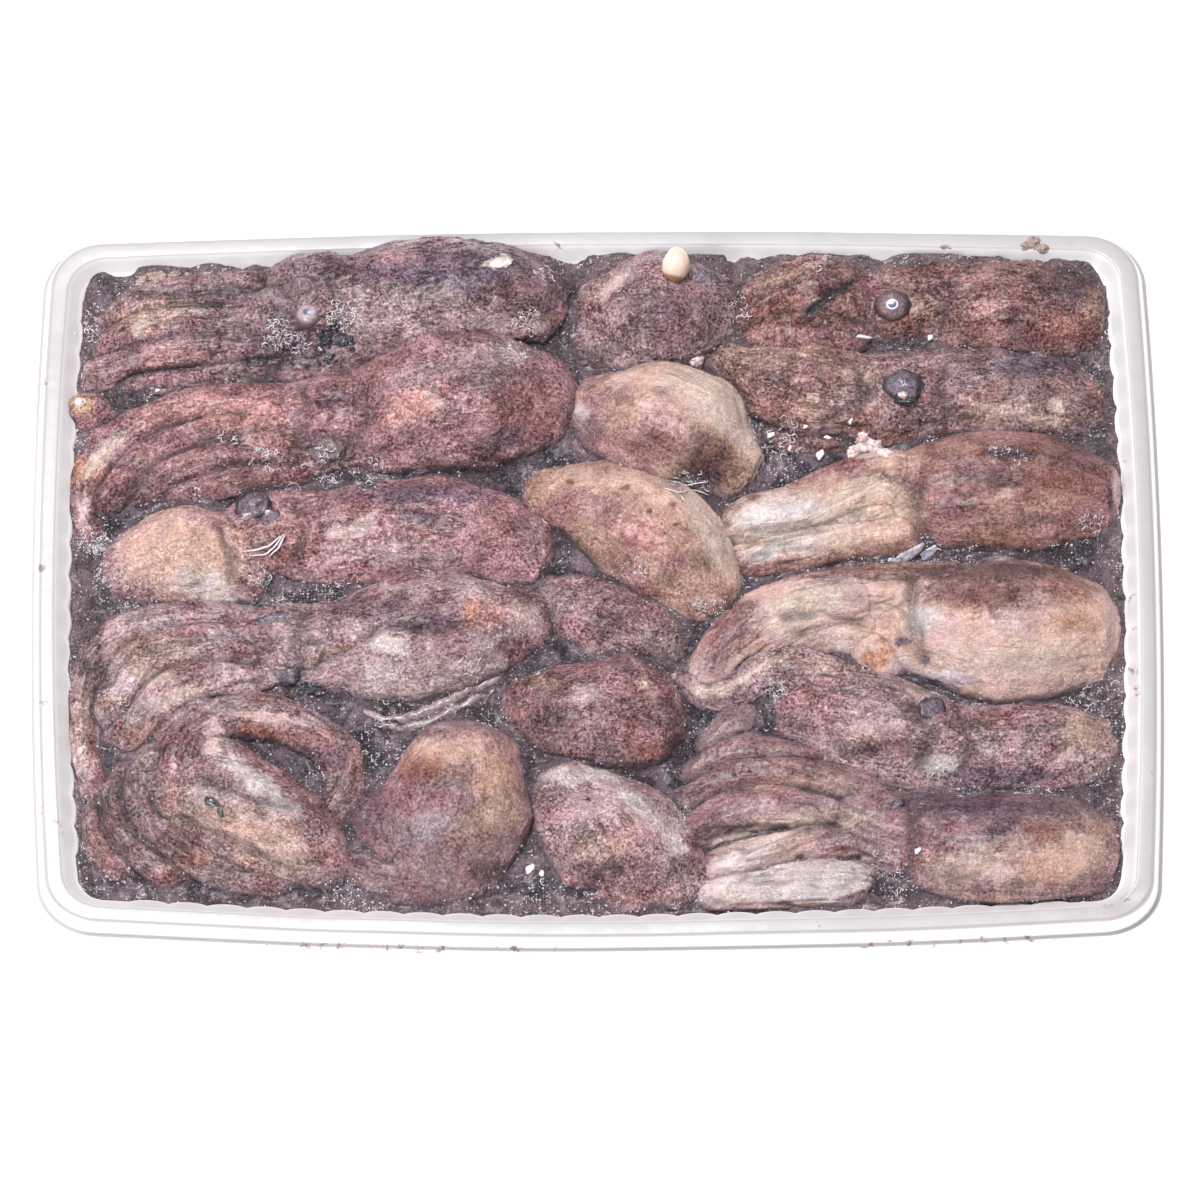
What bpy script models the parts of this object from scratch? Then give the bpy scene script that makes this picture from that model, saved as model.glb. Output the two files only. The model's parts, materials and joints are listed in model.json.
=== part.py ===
"""Whole raw octopuses, frozen in inky ice in their white plastic tray.

Metres, +Z up. The origin is on the underside of the tray, at its centre; X runs
along the tray. The octopuses lie in rows, each with its sac to one side and its
arms to the other, and stand proud of the ice that fills the rest of the tray.
"""
import math

import bmesh
import bpy
from mathutils import Vector

MM = 0.001

# Tray: a thermoformed shell with a fluted wall and a flanged rim
TRAY_LENGTH = 301 * MM
TRAY_WIDTH = 216.6 * MM
RIM_HEIGHT = 32 * MM
RIM_CORNER_RADIUS = 16 * MM
LEAST_CORNER_RADIUS = 7 * MM
CORNER_TIGHTENING = 0.85        # corner radius lost for each unit of inset
RIM_BOW = 2.2 * MM              # how far the middle of each side bulges
BOW_GROWTH = 0.1                # more bow for each unit of inset
FLUTES_LONG, FLUTE_PITCH_LONG = 24, 10.3 * MM
FLUTES_SHORT, FLUTE_PITCH_SHORT = 17, 9.6 * MM
FLUTE_DEPTH = 1.1 * MM
FLUTE_STEPS = 3                 # points along one flute, which fades out down the wall
FLUTE_ROUNDNESS = 0.7
CORNER_STEPS = 5
PLAIN_STEPS = 5                 # points along a side that has no flutes

# Contents
ICE_LEVEL = RIM_HEIGHT - 4.2 * MM
GAP = 0.35 * MM                 # kept between touching solids
POCKET_SWELL = 1.25             # a pocket grows along slanting normals, so it grows by more than the gap
VOXEL = 2.0 * MM
RELAX_STEPS = 3
LEAST_EDGE = 0.002 * MM
FULLNESS = 1.4                  # mm added to a limb's radius, which relaxing and thinning take off
ARM_SIDES = 3                   # bevel resolution of the limbs
LIMB_STEPS = 4                  # curve steps between two points of a limb
CREASE_ANGLE = math.radians(50) # sharper edges than this are not shaded smooth

# Rings of the tray wall, mm: inset from the rim's outer edge, height, fluted or not
RIM = RIM_HEIGHT / MM
INNER_FLOOR = (19.8, 1.0, False)
INNER_FOOT = (16.4, 3.5, False)
INNER_TOP = (9.6, RIM - 3.2, True)
LEDGE = (6.9, RIM - 0.8, False)
FLANGE_INNER = (6.2, RIM, False)
FLANGE_OUTER = (2.7, RIM, False)
SKIRT_TOP = (1.9, RIM - 0.6, False)
SKIRT_FOOT = (1.1, RIM - 4.4, False)
LIP_TOP = (0.0, RIM - 4.9, False)
LIP_BOTTOM = (0.0, RIM - 6.7, False)
LIP_INSIDE = (0.9, RIM - 6.7, False)
SKIRT_INSIDE = (2.0, RIM - 5.2, False)
FLANGE_UNDER_OUTER = (2.8, RIM - 1.1, False)
FLANGE_UNDER_INNER = (6.0, RIM - 1.1, False)
OUTER_TOP = (8.7, RIM - 3.8, False)
OUTER_FOOT = (15.5, 2.6, False)
OUTER_FLOOR = (18.6, 0.0, False)

# Octopuses: height of a limb's section for its width, faces before trimming,
# flesh, and limbs as points along them, mm: x, y, crest above the rim, radius.
# Routes are in rows from the back of the tray to the front.
OCTOPUSES = {
    "octopus_01": (0.95, 140, "brown_flesh", {
        "mantle": [(-68, 85.5, 8, 12.5), (-52, 87.5, 11.5, 15.5), (-35, 88, 12, 15.5), (-23, 87, 7.5, 12)],
        "head": [(-92, 81.5, 3, 10), (-80, 83.5, 5, 11), (-68, 85.5, 7.5, 12)],
        "arm_1": [(-90, 87.5, 2.5, 7), (-108, 87, 1, 6), (-122, 85, -0.5, 5), (-130, 81, -3.5, 4)],
        "arm_2": [(-90, 79.5, 1.5, 7), (-108, 80, 1, 6.5), (-122, 78, 0, 5.5), (-129, 75, -2.5, 4)],
        "arm_3": [(-88, 73.5, 0, 6), (-108, 72, 0, 5.5), (-124, 69, -1, 4.5), (-134, 65, -3, 3.2)],
        "arm_4": [(-86, 68.5, -2, 4.5), (-104, 67, -2.5, 4), (-122, 64, -3, 3.2)]}),
    "octopus_02": (0.95, 84, "brown_flesh", {
        "mantle": [(8, 83.5, 2.5, 12), (16, 83, 7.5, 15.5), (24, 84, 3.5, 13)],
        "neck": [(4, 75.5, 0, 9), (14, 73.5, 1, 9), (24, 74.5, -1, 7)]}),
    "octopus_03": (0.95, 140, "brown_flesh", {
        "lobe": [(45, 82.5, 0, 8), (54, 87.5, 2, 9), (64, 88, 3, 9), (68, 83.5, 0, 7)],
        "lobe_2": [(46, 77.5, -0.5, 7), (56, 76.5, 0.5, 7.5), (66, 76.5, -0.5, 6)],
        "neck": [(74, 91.5, -1.5, 5), (86, 90.5, 0, 6.5), (98, 87.5, 2, 9.5)],
        "socket": [(78, 83.5, 0, 6.5), (86, 83.5, 0, 6.5), (94, 83.5, -0.5, 7)],
        "mantle": [(100, 84, 3, 12.5), (114, 84, 4, 13), (126, 81.5, 2, 11)]}),
    "octopus_04": (0.95, 150, "pink_flesh", {
        "mantle": [(-58, 50.5, 4.5, 14.5), (-44, 54, 8.5, 18), (-29, 56, 9.5, 19.5), (-21, 56.5, 5, 15)],
        "head": [(-84, 47.5, 2.5, 11.5), (-72, 49.5, 3, 12.5), (-58, 51.5, 3.5, 13)],
        "arm_1": [(-82, 53.5, 0, 7), (-100, 54.5, 0, 6), (-117, 51, -0.5, 5.5), (-129, 43.5, -1.5, 5),
                  (-135.5, 33.5, -2.5, 4.2), (-137, 24.5, -3.5, 3.6), (-135, 18.5, -4.5, 3)],
        "arm_2": [(-82, 47.5, 0, 7), (-100, 47.5, 0, 6.5), (-116, 43, -1, 5.5), (-130, 29, -3, 3.8)],
        "arm_3": [(-82, 41.5, -0.5, 6), (-100, 40.5, -0.5, 6), (-114, 35.5, -2, 5), (-122, 30.5, -4, 3.5)],
        "arm_4": [(-80, 37.5, -2, 4.5), (-96, 35, -2, 4.5), (-110, 30.5, -3.5, 3.5)]}),
    "octopus_05": (0.95, 110, "grey_flesh", {
        "arms": [(37, 67.5, -2, 7), (47, 61.5, 2.5, 11.5), (58, 57.5, 5, 14), (70, 55.5, 4, 13)],
        "arms_2": [(50, 48.5, -2.5, 5), (60, 46.5, -1.5, 6), (70, 47.5, -2, 6)],
        "head": [(70, 55.5, 3, 12), (82, 56.5, 3, 12), (92, 57.5, 2, 11)],
        "mantle": [(92, 57.5, 2.5, 11.5), (106, 57.5, 3, 12), (120, 56.5, 2, 11.5), (127, 55.5, 0, 9.5)]}),
    "octopus_06": (0.95, 84, "pale_flesh", {
        "mantle": [(5, 53, 2, 11.5), (14, 49.5, 8, 16), (25, 44.5, 8.5, 17), (31, 40, 3, 12.5)]}),
    "octopus_07": (0.95, 116, "pink_flesh", {
        "mantle": [(-72, 18.5, 1, 10.5), (-56, 17.5, 3.5, 12.5), (-40, 16.5, 5, 14), (-26, 14.5, 2.5, 12)],
        "head": [(-98, 12.5, 0, 9.5), (-88, 16.5, 1, 10), (-72, 18.5, 1, 10.5)],
        "crown": [(-119, 7.5, 1.5, 11.5), (-109, 9.5, 5, 14), (-98, 7.5, 2, 11)]}),
    "octopus_08": (0.95, 88, "pale_flesh", {
        "mantle": [(-11, 27, 0, 7.5), (1, 24, 4, 11.5), (13, 16.5, 7, 14.5), (22, 8, 6, 14),
                   (27, 2, 2, 10.5)]}),
    "octopus_09": (0.95, 120, "pale_flesh", {
        "arm_1": [(41, 18, 0.5, 7.5), (54, 20.5, 1.5, 8), (67, 24.5, 2, 9), (80, 26.5, 2.5, 10)],
        "arm_2": [(41, 9, -1.5, 5), (53, 11.5, 0, 6), (67, 15, 0, 7), (82, 17.5, 0, 7)],
        "mantle": [(88, 26.5, 3.5, 13.5), (102, 27.5, 6.5, 16), (118, 27, 6, 16), (127, 26.5, 3, 13)]}),
    "octopus_10": (0.95, 180, "pink_flesh", {
        "mantle": [(-64, -17.5, 3.5, 13.5), (-50, -15.5, 7, 17), (-36, -13, 6, 15.5), (-24, -11, 0, 9)],
        "head": [(-94, -16.5, 0, 9), (-80, -16.5, 1.5, 10.5), (-64, -16.5, 2.5, 12)],
        "arm_1": [(-92, -11.5, -1.5, 5.5), (-110, -9.5, -1.5, 5), (-125, -13.5, -1.5, 5), (-134, -24.5, -2, 4.5),
                  (-137, -38.5, -2.5, 4), (-136, -52.5, -3, 3.6), (-131, -64, -4.5, 3)],
        "arm_2": [(-92, -18.5, 0.5, 8), (-108, -18.5, 0.5, 7.5), (-121, -22.5, 0, 7), (-127, -31.5, -0.5, 5.5)],
        "arm_3": [(-90, -25.5, -1, 6), (-104, -27.5, 0, 7), (-116, -33.5, 0, 7), (-123, -42.5, -1.5, 5)],
        "arm_4": [(-105, -34.5, -2, 4.5), (-114, -40.5, -2.5, 4), (-120, -46, -4.5, 3)]}),
    "octopus_11": (0.95, 64, "grey_flesh", {
        "mantle": [(-6, -4.5, -3, 8), (4, -8.5, 0, 11), (14, -13.5, -2, 8.5), (20, -18.5, -5.5, 4)]}),
    "octopus_12": (0.95, 140, "pale_flesh", {
        "mantle": [(94, -12.5, 5.5, 15.5), (107, -13, 10, 19.5), (121, -13, 7, 16.5)],
        "head": [(66, -5.5, 0.5, 9), (78, -5.5, 1.5, 10), (94, -6.5, 2.5, 12)],
        "arm_1": [(68, -4.5, 1.5, 8.5), (54, -5, 1, 8), (43, -10.5, 0, 7), (34, -18.5, -1, 5.5),
                  (29, -25.5, -3.5, 4)],
        "arm_2": [(70, -12.5, 0, 7), (58, -10.5, -1.5, 5), (46, -16.5, -3.5, 4)],
        "blob": [(74, -19.5, -0.5, 5.5), (76, -23, -1.5, 4.5)]}),
    "octopus_13": (0.95, 78, "brown_flesh", {
        "mantle": [(-16, -34.5, -1, 8.5), (-5, -37.5, 4, 12.5), (7, -38.5, 6, 14.5)]}),
    "octopus_14": (0.95, 130, "grey_flesh", {
        "arm_1": [(23, -27.5, -3.5, 2.6), (29, -32.5, -3.5, 3), (36, -31.5, -2.5, 3.4), (43, -26, -2, 3.8),
                  (51, -24.5, -1, 5), (62, -28.5, -0.5, 6)],
        "head": [(60, -37.5, 1.5, 12), (74, -41.5, 3, 12.5), (88, -45.5, 1.5, 11)],
        "mantle": [(90, -47, 0.5, 10.5), (104, -48.5, 1.5, 11), (118, -49, 2, 11), (127, -48.5, 0, 9.5)]}),
    "octopus_15": (0.95, 240, "pink_flesh", {
        "crown": [(-108, -60.5, 1, 10), (-97, -67.5, 5, 13.5), (-86, -73.5, 5, 13.5), (-74, -80, 0, 9)],
        "loop": [(-112, -62.5, -0.5, 5.5), (-110, -49.5, 0, 5.5), (-103, -41.5, 0, 4.6),
                 (-92, -38.5, 0, 4.2), (-80, -41.5, 0, 4), (-70, -48.5, -0.5, 3.6),
                 (-66.5, -58.5, -2, 3.4), (-70, -66.5, -3, 3)],
        "inner": [(-101, -50.5, 0, 4), (-93, -56.5, 0.5, 4), (-84, -62.5, 0.5, 3.8), (-77, -68.5, -0.5, 3)],
        "arm_1": [(-113, -48.5, -2.5, 4), (-121, -56.5, -2, 4), (-121, -67.5, -2, 4), (-113, -78, -1.5, 4.5),
                  (-100, -84.5, -2, 4.5), (-86, -88, -3, 4)],
        "arm_2": [(-124, -54.5, -4, 2.8), (-128, -66.5, -3, 3.4), (-124, -77, -2.5, 3.6), (-113, -86, -3.5, 3.2)],
        "arm_3": [(-132, -66, -4.5, 2.6), (-133, -75, -3.5, 3), (-127, -84, -4, 3)]}),
    "octopus_16": (0.95, 84, "pale_flesh", {
        "mantle": [(-37, -57.5, 7, 16.5), (-39, -66.5, 10.5, 20), (-41, -77, 4.5, 15)]}),
    "octopus_17": (0.95, 84, "grey_flesh", {
        "mantle": [(-6, -65, 3, 11.5), (0, -71.5, 6, 15.5), (6, -78.5, 7, 17.5), (8, -82.5, 2, 13)]}),
    "octopus_18": (0.95, 150, "pale_flesh", {
        "mantle": [(92, -78.5, 3, 13), (106, -78.5, 5, 15), (120, -77.5, 4, 14), (124, -77, 1.5, 12)],
        "head": [(68, -68.5, 0, 9), (80, -73.5, 1, 11), (92, -77, 2, 12)],
        "arm_1": [(70, -64.5, 0, 7), (54, -58.5, 0, 6.5), (38, -57, -1.5, 5.5), (24, -62.5, -3.5, 4)],
        "arm_2": [(70, -69.5, -0.5, 6), (52, -66.5, 0, 6.5), (36, -67.5, -0.5, 6), (26, -72.5, -2.5, 4.5)],
        "arm_3": [(70, -74.5, -1.5, 5), (56, -76.5, -1.5, 5), (40, -82, -1.5, 4.4), (30, -84.5, -3, 3.6)],
        "arm_4": [(66, -88.5, -1.5, 5), (54, -88.5, -0.5, 5.6), (40, -90, -1.5, 4.6), (30, -91, -3, 3.6)]}),
}

# A single grain of roe that lies on the second octopus
EGG_CENTRE = Vector((21.0, 90.0, RIM + 9.6)) * MM
EGG_SIZE = Vector((7.8, 9.4, 7.4)) * MM
EGG_TILT = math.radians(28)

COLOURS = {
    "white_plastic": ((0.86, 0.85, 0.87), 0.32),
    "inky_ice": ((0.075, 0.070, 0.090), 0.35),
    "brown_flesh": ((0.20, 0.13, 0.13), 0.42),
    "pink_flesh": ((0.33, 0.22, 0.22), 0.42),
    "grey_flesh": ((0.21, 0.17, 0.17), 0.42),
    "pale_flesh": ((0.50, 0.37, 0.31), 0.42),
    "roe": ((0.86, 0.76, 0.62), 0.35),
}


def remove_objects():
    for item in list(bpy.data.objects):
        bpy.data.objects.remove(item, do_unlink=True)


def material(name):
    """Principled material of one finish, made once."""
    found = bpy.data.materials.get(name)
    if found:
        return found
    colour, roughness = COLOURS[name]
    made = bpy.data.materials.new(name)
    made.use_nodes = True
    shader = made.node_tree.nodes["Principled BSDF"]
    shader.inputs["Base Color"].default_value = (*colour, 1.0)
    shader.inputs["Roughness"].default_value = roughness
    shader.inputs["Metallic"].default_value = 0.0
    return made


def object_from(mesh, name, finish=None):
    made = bpy.data.objects.new(name, mesh)
    bpy.context.collection.objects.link(made)
    if finish:
        mesh.materials.clear()
        mesh.materials.append(material(finish))
    return made


def side_stations(half_straight, flutes, pitch, fluted):
    """Places along one side from -1 to 1, each with how far its rib stands in."""
    if not fluted:
        return [(2 * i / PLAIN_STEPS - 1, 0.0) for i in range(PLAIN_STEPS + 1)]
    reach = flutes * pitch / 2 / half_straight
    stations = [(-1.0, 0.0)]
    for i in range(flutes * FLUTE_STEPS + 1):
        rib = abs(math.sin(math.pi * i / FLUTE_STEPS)) ** FLUTE_ROUNDNESS
        stations.append((reach * (2 * i / (flutes * FLUTE_STEPS) - 1), rib * FLUTE_DEPTH))
    return stations + [(1.0, 0.0)]


def outline(inset, fluted):
    """Plan outline of the tray: a rounded rectangle with bowed, fluted sides."""
    bow = RIM_BOW + BOW_GROWTH * inset
    radius = max(RIM_CORNER_RADIUS - CORNER_TIGHTENING * inset, LEAST_CORNER_RADIUS)
    half_x, half_y = TRAY_LENGTH / 2 - inset, TRAY_WIDTH / 2 - inset
    points = []
    for quarter in range(4):
        long_side = quarter % 2 == 0
        reach, along = (half_y, half_x) if long_side else (half_x, half_y)
        flutes, pitch = (FLUTES_LONG, FLUTE_PITCH_LONG) if long_side else (FLUTES_SHORT, FLUTE_PITCH_SHORT)
        straight = along - bow - radius
        side = [(u * straight, -(reach - bow * u * u - rib))
                for u, rib in side_stations(straight, flutes, pitch, fluted)]
        for step in range(1, CORNER_STEPS):
            angle = -math.pi / 2 + math.pi / 2 * step / CORNER_STEPS
            side.append((straight + radius * math.cos(angle),
                         -(reach - bow - radius) + radius * math.sin(angle)))
        turn = quarter * math.pi / 2
        points += [(x * math.cos(turn) - y * math.sin(turn), x * math.sin(turn) + y * math.cos(turn))
                   for x, y in side]
    return points


def add_ring(mesh, inset, height, fluted, lift=0.0, inward=0.0):
    """One closed ring of vertices joined by edges."""
    points = outline((inset * MM) + inward, fluted)
    verts = [mesh.verts.new((x, y, height * MM + lift)) for x, y in points]
    for i, vert in enumerate(verts):
        mesh.edges.new((verts[i - 1], vert))
    return verts


def stitch(mesh, first, second):
    """Band of faces between two rings, also where only one of them is fluted."""
    if len(first) == len(second):
        for i in range(len(first)):
            mesh.faces.new((first[i - 1], first[i], second[i], second[i - 1]))
        return
    edges = [mesh.edges.get((ring[i - 1], ring[i])) for ring in (first, second) for i in range(len(ring))]
    bmesh.ops.bridge_loops(mesh, edges=edges)


def shell(name, rings, closed):
    """Closed solid through rings of points, capped at both ends or joined round."""
    work = bmesh.new()
    loops = [add_ring(work, *ring) for ring in rings]
    for first, second in zip(loops, loops[1:]):
        stitch(work, first, second)
    if closed:
        stitch(work, loops[-1], loops[0])
    else:
        work.faces.new(loops[0])
        work.faces.new(loops[-1])
    bmesh.ops.triangulate(work, faces=work.faces)
    bmesh.ops.recalc_face_normals(work, faces=work.faces)
    mesh = bpy.data.meshes.new(name)
    work.to_mesh(mesh)
    work.free()
    return mesh


def make_tray():
    rings = [INNER_FLOOR, INNER_FOOT, INNER_TOP, LEDGE, FLANGE_INNER, FLANGE_OUTER, SKIRT_TOP,
             SKIRT_FOOT, LIP_TOP, LIP_BOTTOM, LIP_INSIDE, SKIRT_INSIDE, FLANGE_UNDER_OUTER,
             FLANGE_UNDER_INNER, OUTER_TOP, OUTER_FOOT, OUTER_FLOOR]
    return object_from(shell("tray", rings, closed=False), "tray", "white_plastic")


def cavity_rings():
    """Inside of the tray, just clear of its floor, ribs and ledge."""
    clear = FLUTE_DEPTH + GAP
    return [(INNER_FLOOR[0], INNER_FLOOR[1], False, GAP, GAP * 2),
            (INNER_FOOT[0], INNER_FOOT[1], False, GAP, clear),
            (INNER_TOP[0], ICE_LEVEL / MM, False, 0.0, clear)]


def make_keep_out():
    """What the tray takes up: octopuses are trimmed by it, so they rest on the rim."""
    floor, foot, top = cavity_rings()
    over_ribs = (INNER_TOP[0], INNER_TOP[1], False, GAP, FLUTE_DEPTH + GAP)
    over_ledge = (LEDGE[0], LEDGE[1], False, GAP, GAP)
    over_flange = (FLANGE_INNER[0], FLANGE_INNER[1], False, GAP, GAP)
    beyond_top = (-6.0, RIM_HEIGHT / MM, False, GAP, 0.0)
    beyond_foot = (-6.0, 0.0, False, 0.0, 0.0)
    rings = [floor, foot, top, over_ribs, over_ledge, over_flange, beyond_top, beyond_foot]
    return shell("keep_out", rings, closed=True)


def rounded_ends(route, flatness):
    """The same route with a rounded end past its first and last points."""
    points = [(Vector((x, y, RIM + crest - flatness * radius)), radius + FULLNESS)
              for x, y, crest, radius in route]

    def cap(end, before):
        place, radius = end
        away = (place - before[0]).normalized()
        return [(place + away * radius * 0.6, radius * 0.78), (place + away * radius * 0.92, radius * 0.32)]

    start = cap(points[0], points[1])
    finish = cap(points[-1], points[-2])
    return start[::-1] + points + finish


def limbs_mesh(name, limbs, flatness):
    """Limbs as round tubes along their routes, flattened together."""
    curve = bpy.data.curves.new(name, "CURVE")
    curve.dimensions = "3D"
    curve.bevel_depth = MM
    curve.bevel_resolution = ARM_SIDES
    curve.resolution_u = LIMB_STEPS
    curve.use_fill_caps = True
    for route in limbs.values():
        points = rounded_ends(route, flatness)
        spline = curve.splines.new("BEZIER")
        spline.bezier_points.add(len(points) - 1)
        for knot, (place, radius) in zip(spline.bezier_points, points):
            knot.co = (place.x * MM, place.y * MM, place.z * MM / flatness)
            knot.radius = radius
            knot.handle_left_type = knot.handle_right_type = "AUTO"
    guide = object_from(curve, name + "_limbs")
    bpy.context.view_layer.update()
    mesh = bpy.data.meshes.new_from_object(guide.evaluated_get(bpy.context.evaluated_depsgraph_get()))
    bpy.data.objects.remove(guide)
    for vert in mesh.vertices:
        vert.co.z *= flatness
    return mesh


def settle(item):
    """Replace an object's mesh with what its modifiers make of it."""
    bpy.context.view_layer.update()
    mesh = bpy.data.meshes.new_from_object(item.evaluated_get(bpy.context.evaluated_depsgraph_get()))
    item.modifiers.clear()
    item.data = mesh
    return mesh


def keep_main_body(item):
    """Drop the crumbs that a cut has left apart."""
    work = bmesh.new()
    work.from_mesh(item.data)
    bmesh.ops.dissolve_degenerate(work, edges=work.edges, dist=LEAST_EDGE)
    bmesh.ops.delete(work, geom=[e for e in work.edges if not e.link_faces], context="EDGES")
    unseen, bodies = set(work.verts), []
    while unseen:
        body, front = set(), [unseen.pop()]
        while front:
            vert = front.pop()
            body.add(vert)
            for edge in vert.link_edges:
                other = edge.other_vert(vert)
                if other in unseen:
                    unseen.discard(other)
                    front.append(other)
        bodies.append(body)
    main = max(bodies, key=len)
    bmesh.ops.delete(work, geom=[v for v in work.verts if v not in main], context="VERTS")
    bmesh.ops.triangulate(work, faces=work.faces)
    work.to_mesh(item.data)
    work.free()


def swollen(mesh, name):
    """Cutter object: the mesh grown by the gap along its normals."""
    copy = mesh.copy()
    normals = [vert.normal.copy() for vert in copy.vertices]
    for vert, normal in zip(copy.vertices, normals):
        vert.co += normal * GAP * POCKET_SWELL
    return cutter(copy, name)


def cutter(mesh, name):
    made = object_from(mesh, name)
    made.hide_render = True
    made.display_type = "WIRE"
    return made


def cut(item, tool):
    step = item.modifiers.new("cut", "BOOLEAN")
    step.operation = "DIFFERENCE"
    step.solver = "MANIFOLD"    # EXACT leaves holes where a pocket's arms fold into each other
    step.object = tool
    settle(item)


def near(first, second):
    """True where the boxes of two meshes, in one frame, come together."""
    for axis in range(3):
        low_1, high_1 = min(v.co[axis] for v in first.vertices), max(v.co[axis] for v in first.vertices)
        low_2, high_2 = min(v.co[axis] for v in second.vertices), max(v.co[axis] for v in second.vertices)
        if low_1 > high_2 + 2 * GAP or low_2 > high_1 + 2 * GAP:
            return False
    return True


def make_octopus(name, keep_out, neighbours):
    """One animal as a single skin over its limbs, trimmed clear of what it lies against."""
    flatness, faces, finish, limbs = OCTOPUSES[name]
    animal = object_from(limbs_mesh(name, limbs, flatness), name)
    skin = animal.modifiers.new("skin", "REMESH")
    skin.mode = "VOXEL"
    skin.voxel_size = VOXEL
    relax = animal.modifiers.new("relax", "SMOOTH")
    relax.iterations = RELAX_STEPS
    dense = settle(animal)
    coarse = animal.modifiers.new("coarse", "DECIMATE")
    coarse.ratio = faces / (2 * len(dense.polygons))
    settle(animal)
    cut(animal, keep_out)
    for tool in neighbours:
        if near(animal.data, tool.data):
            cut(animal, tool)
    keep_main_body(animal)
    animal.data.materials.clear()
    animal.data.materials.append(material(finish))
    animal.data.shade_smooth()
    animal.data.set_sharp_from_angle(angle=CREASE_ANGLE)
    animal.data.name = name
    return animal


def make_egg():
    bpy.ops.mesh.primitive_uv_sphere_add(segments=12, ring_count=8, radius=0.5, location=EGG_CENTRE)
    egg = bpy.context.object
    egg.name = egg.data.name = "egg"
    egg.scale = EGG_SIZE
    egg.rotation_euler = (EGG_TILT, 0.0, 0.0)
    bpy.ops.object.transform_apply(location=True, rotation=True, scale=True)
    egg.data.materials.append(material("roe"))
    egg.data.shade_smooth()
    return egg


def make_ice(pockets):
    """The frozen block up to its level, with a pocket round each octopus."""
    ice = object_from(shell("ink_ice", cavity_rings(), closed=False), "ink_ice")
    for tool in pockets:
        cut(ice, tool)
    keep_main_body(ice)
    ice.data.materials.clear()
    ice.data.materials.append(material("inky_ice"))
    ice.data.name = "ink_ice"
    return ice


def main():
    remove_objects()
    make_tray()
    egg = make_egg()
    keep_out = cutter(make_keep_out(), "keep_out")
    egg_pocket = swollen(egg.data, "egg_pocket")
    pockets = []
    for name in reversed(OCTOPUSES):
        animal = make_octopus(name, keep_out, [egg_pocket] + pockets)
        # the animal itself also cuts, where its pocket folds inside out between two arms
        pockets += [swollen(animal.data, name + "_pocket"), animal]
    make_ice(pockets)


main()
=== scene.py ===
# %% [markdown]
# # Whole raw octopuses, frozen in inky ice in their tray
#
# The real thing is a shallow tray of thin white plastic. Eighteen small
# octopuses lie in it in rows, and water darkened by their ink has frozen round
# them. This script dresses the fixed frame: it makes every visible surface, and
# each piece stands exactly where the frame says, because all of them share its
# origin.
#
# We work in millimetres in the tables, since that is how one would measure
# food, and turn them into Blender's metres only when a mesh is written.

# %% Load the frame
import itertools
import json
import math
import random

import bmesh
import bpy
import numpy as np
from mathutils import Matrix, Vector
from mathutils.geometry import interpolate_bezier


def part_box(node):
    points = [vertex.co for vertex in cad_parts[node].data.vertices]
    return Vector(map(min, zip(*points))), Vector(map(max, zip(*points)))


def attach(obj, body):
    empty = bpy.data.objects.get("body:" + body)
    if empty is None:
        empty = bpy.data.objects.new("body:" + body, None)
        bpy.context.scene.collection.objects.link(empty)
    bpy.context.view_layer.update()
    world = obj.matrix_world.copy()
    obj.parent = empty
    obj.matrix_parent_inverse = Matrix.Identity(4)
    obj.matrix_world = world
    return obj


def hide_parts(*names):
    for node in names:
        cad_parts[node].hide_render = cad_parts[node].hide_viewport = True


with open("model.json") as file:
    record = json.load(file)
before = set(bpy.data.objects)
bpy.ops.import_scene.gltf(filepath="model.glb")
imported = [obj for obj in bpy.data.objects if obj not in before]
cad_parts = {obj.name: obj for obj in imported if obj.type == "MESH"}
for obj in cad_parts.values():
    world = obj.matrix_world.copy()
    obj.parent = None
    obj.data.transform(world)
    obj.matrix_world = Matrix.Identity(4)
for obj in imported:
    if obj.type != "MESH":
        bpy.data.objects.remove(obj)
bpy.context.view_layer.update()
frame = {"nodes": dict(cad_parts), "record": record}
MM = 0.001
TRAY_LOW, TRAY_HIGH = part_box("tray")
HALF_LENGTH, HALF_WIDTH, RIM = (side / MM for side in TRAY_HIGH)
ICE_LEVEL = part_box("ink_ice")[1].z / MM
ANIMALS = sorted(name for name in frame["nodes"] if name.startswith("octopus"))
SLOT_OF = {part["node"]: part["material_slot"] for part in frame["record"]["subparts"]}
print(f"{len(ANIMALS)} octopuses, rim at {RIM:.1f} mm, ice at {ICE_LEVEL:.1f} mm")

# %% [markdown]
# ## Camera, light and floor
#
# The tray is looked down on from the front with a very long lens, so its sides
# hardly converge. The light is that of a product table: a large soft lamp
# overhead, a weaker one from the front left, and an even surround. The floor is
# much larger than the tray and glows a little, which keeps the shadows faint.

# %% Camera
VIEW_ELEVATION = math.radians(62)
VIEW_DISTANCE = 4.149
VIEW_ROLL = math.radians(0.45)
LENS_MM = 469.2
AIM = Vector((0.8, -6.3, RIM)) * MM
SIGHT = Vector((0.0, math.cos(VIEW_ELEVATION), -math.sin(VIEW_ELEVATION)))

camera_data = bpy.data.cameras.new("camera")
camera_data.lens = LENS_MM
camera_data.clip_end = 20.0
camera = bpy.data.objects.new("camera", camera_data)
bpy.context.collection.objects.link(camera)
camera.location = AIM - SIGHT * VIEW_DISTANCE
camera.rotation_euler = (math.pi / 2 - VIEW_ELEVATION, 0.0, 0.0)
camera.rotation_euler.rotate_axis("Z", -VIEW_ROLL)
bpy.context.scene.camera = camera
print(f"camera {VIEW_DISTANCE:.2f} m away at {math.degrees(VIEW_ELEVATION):.0f} degrees")


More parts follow.
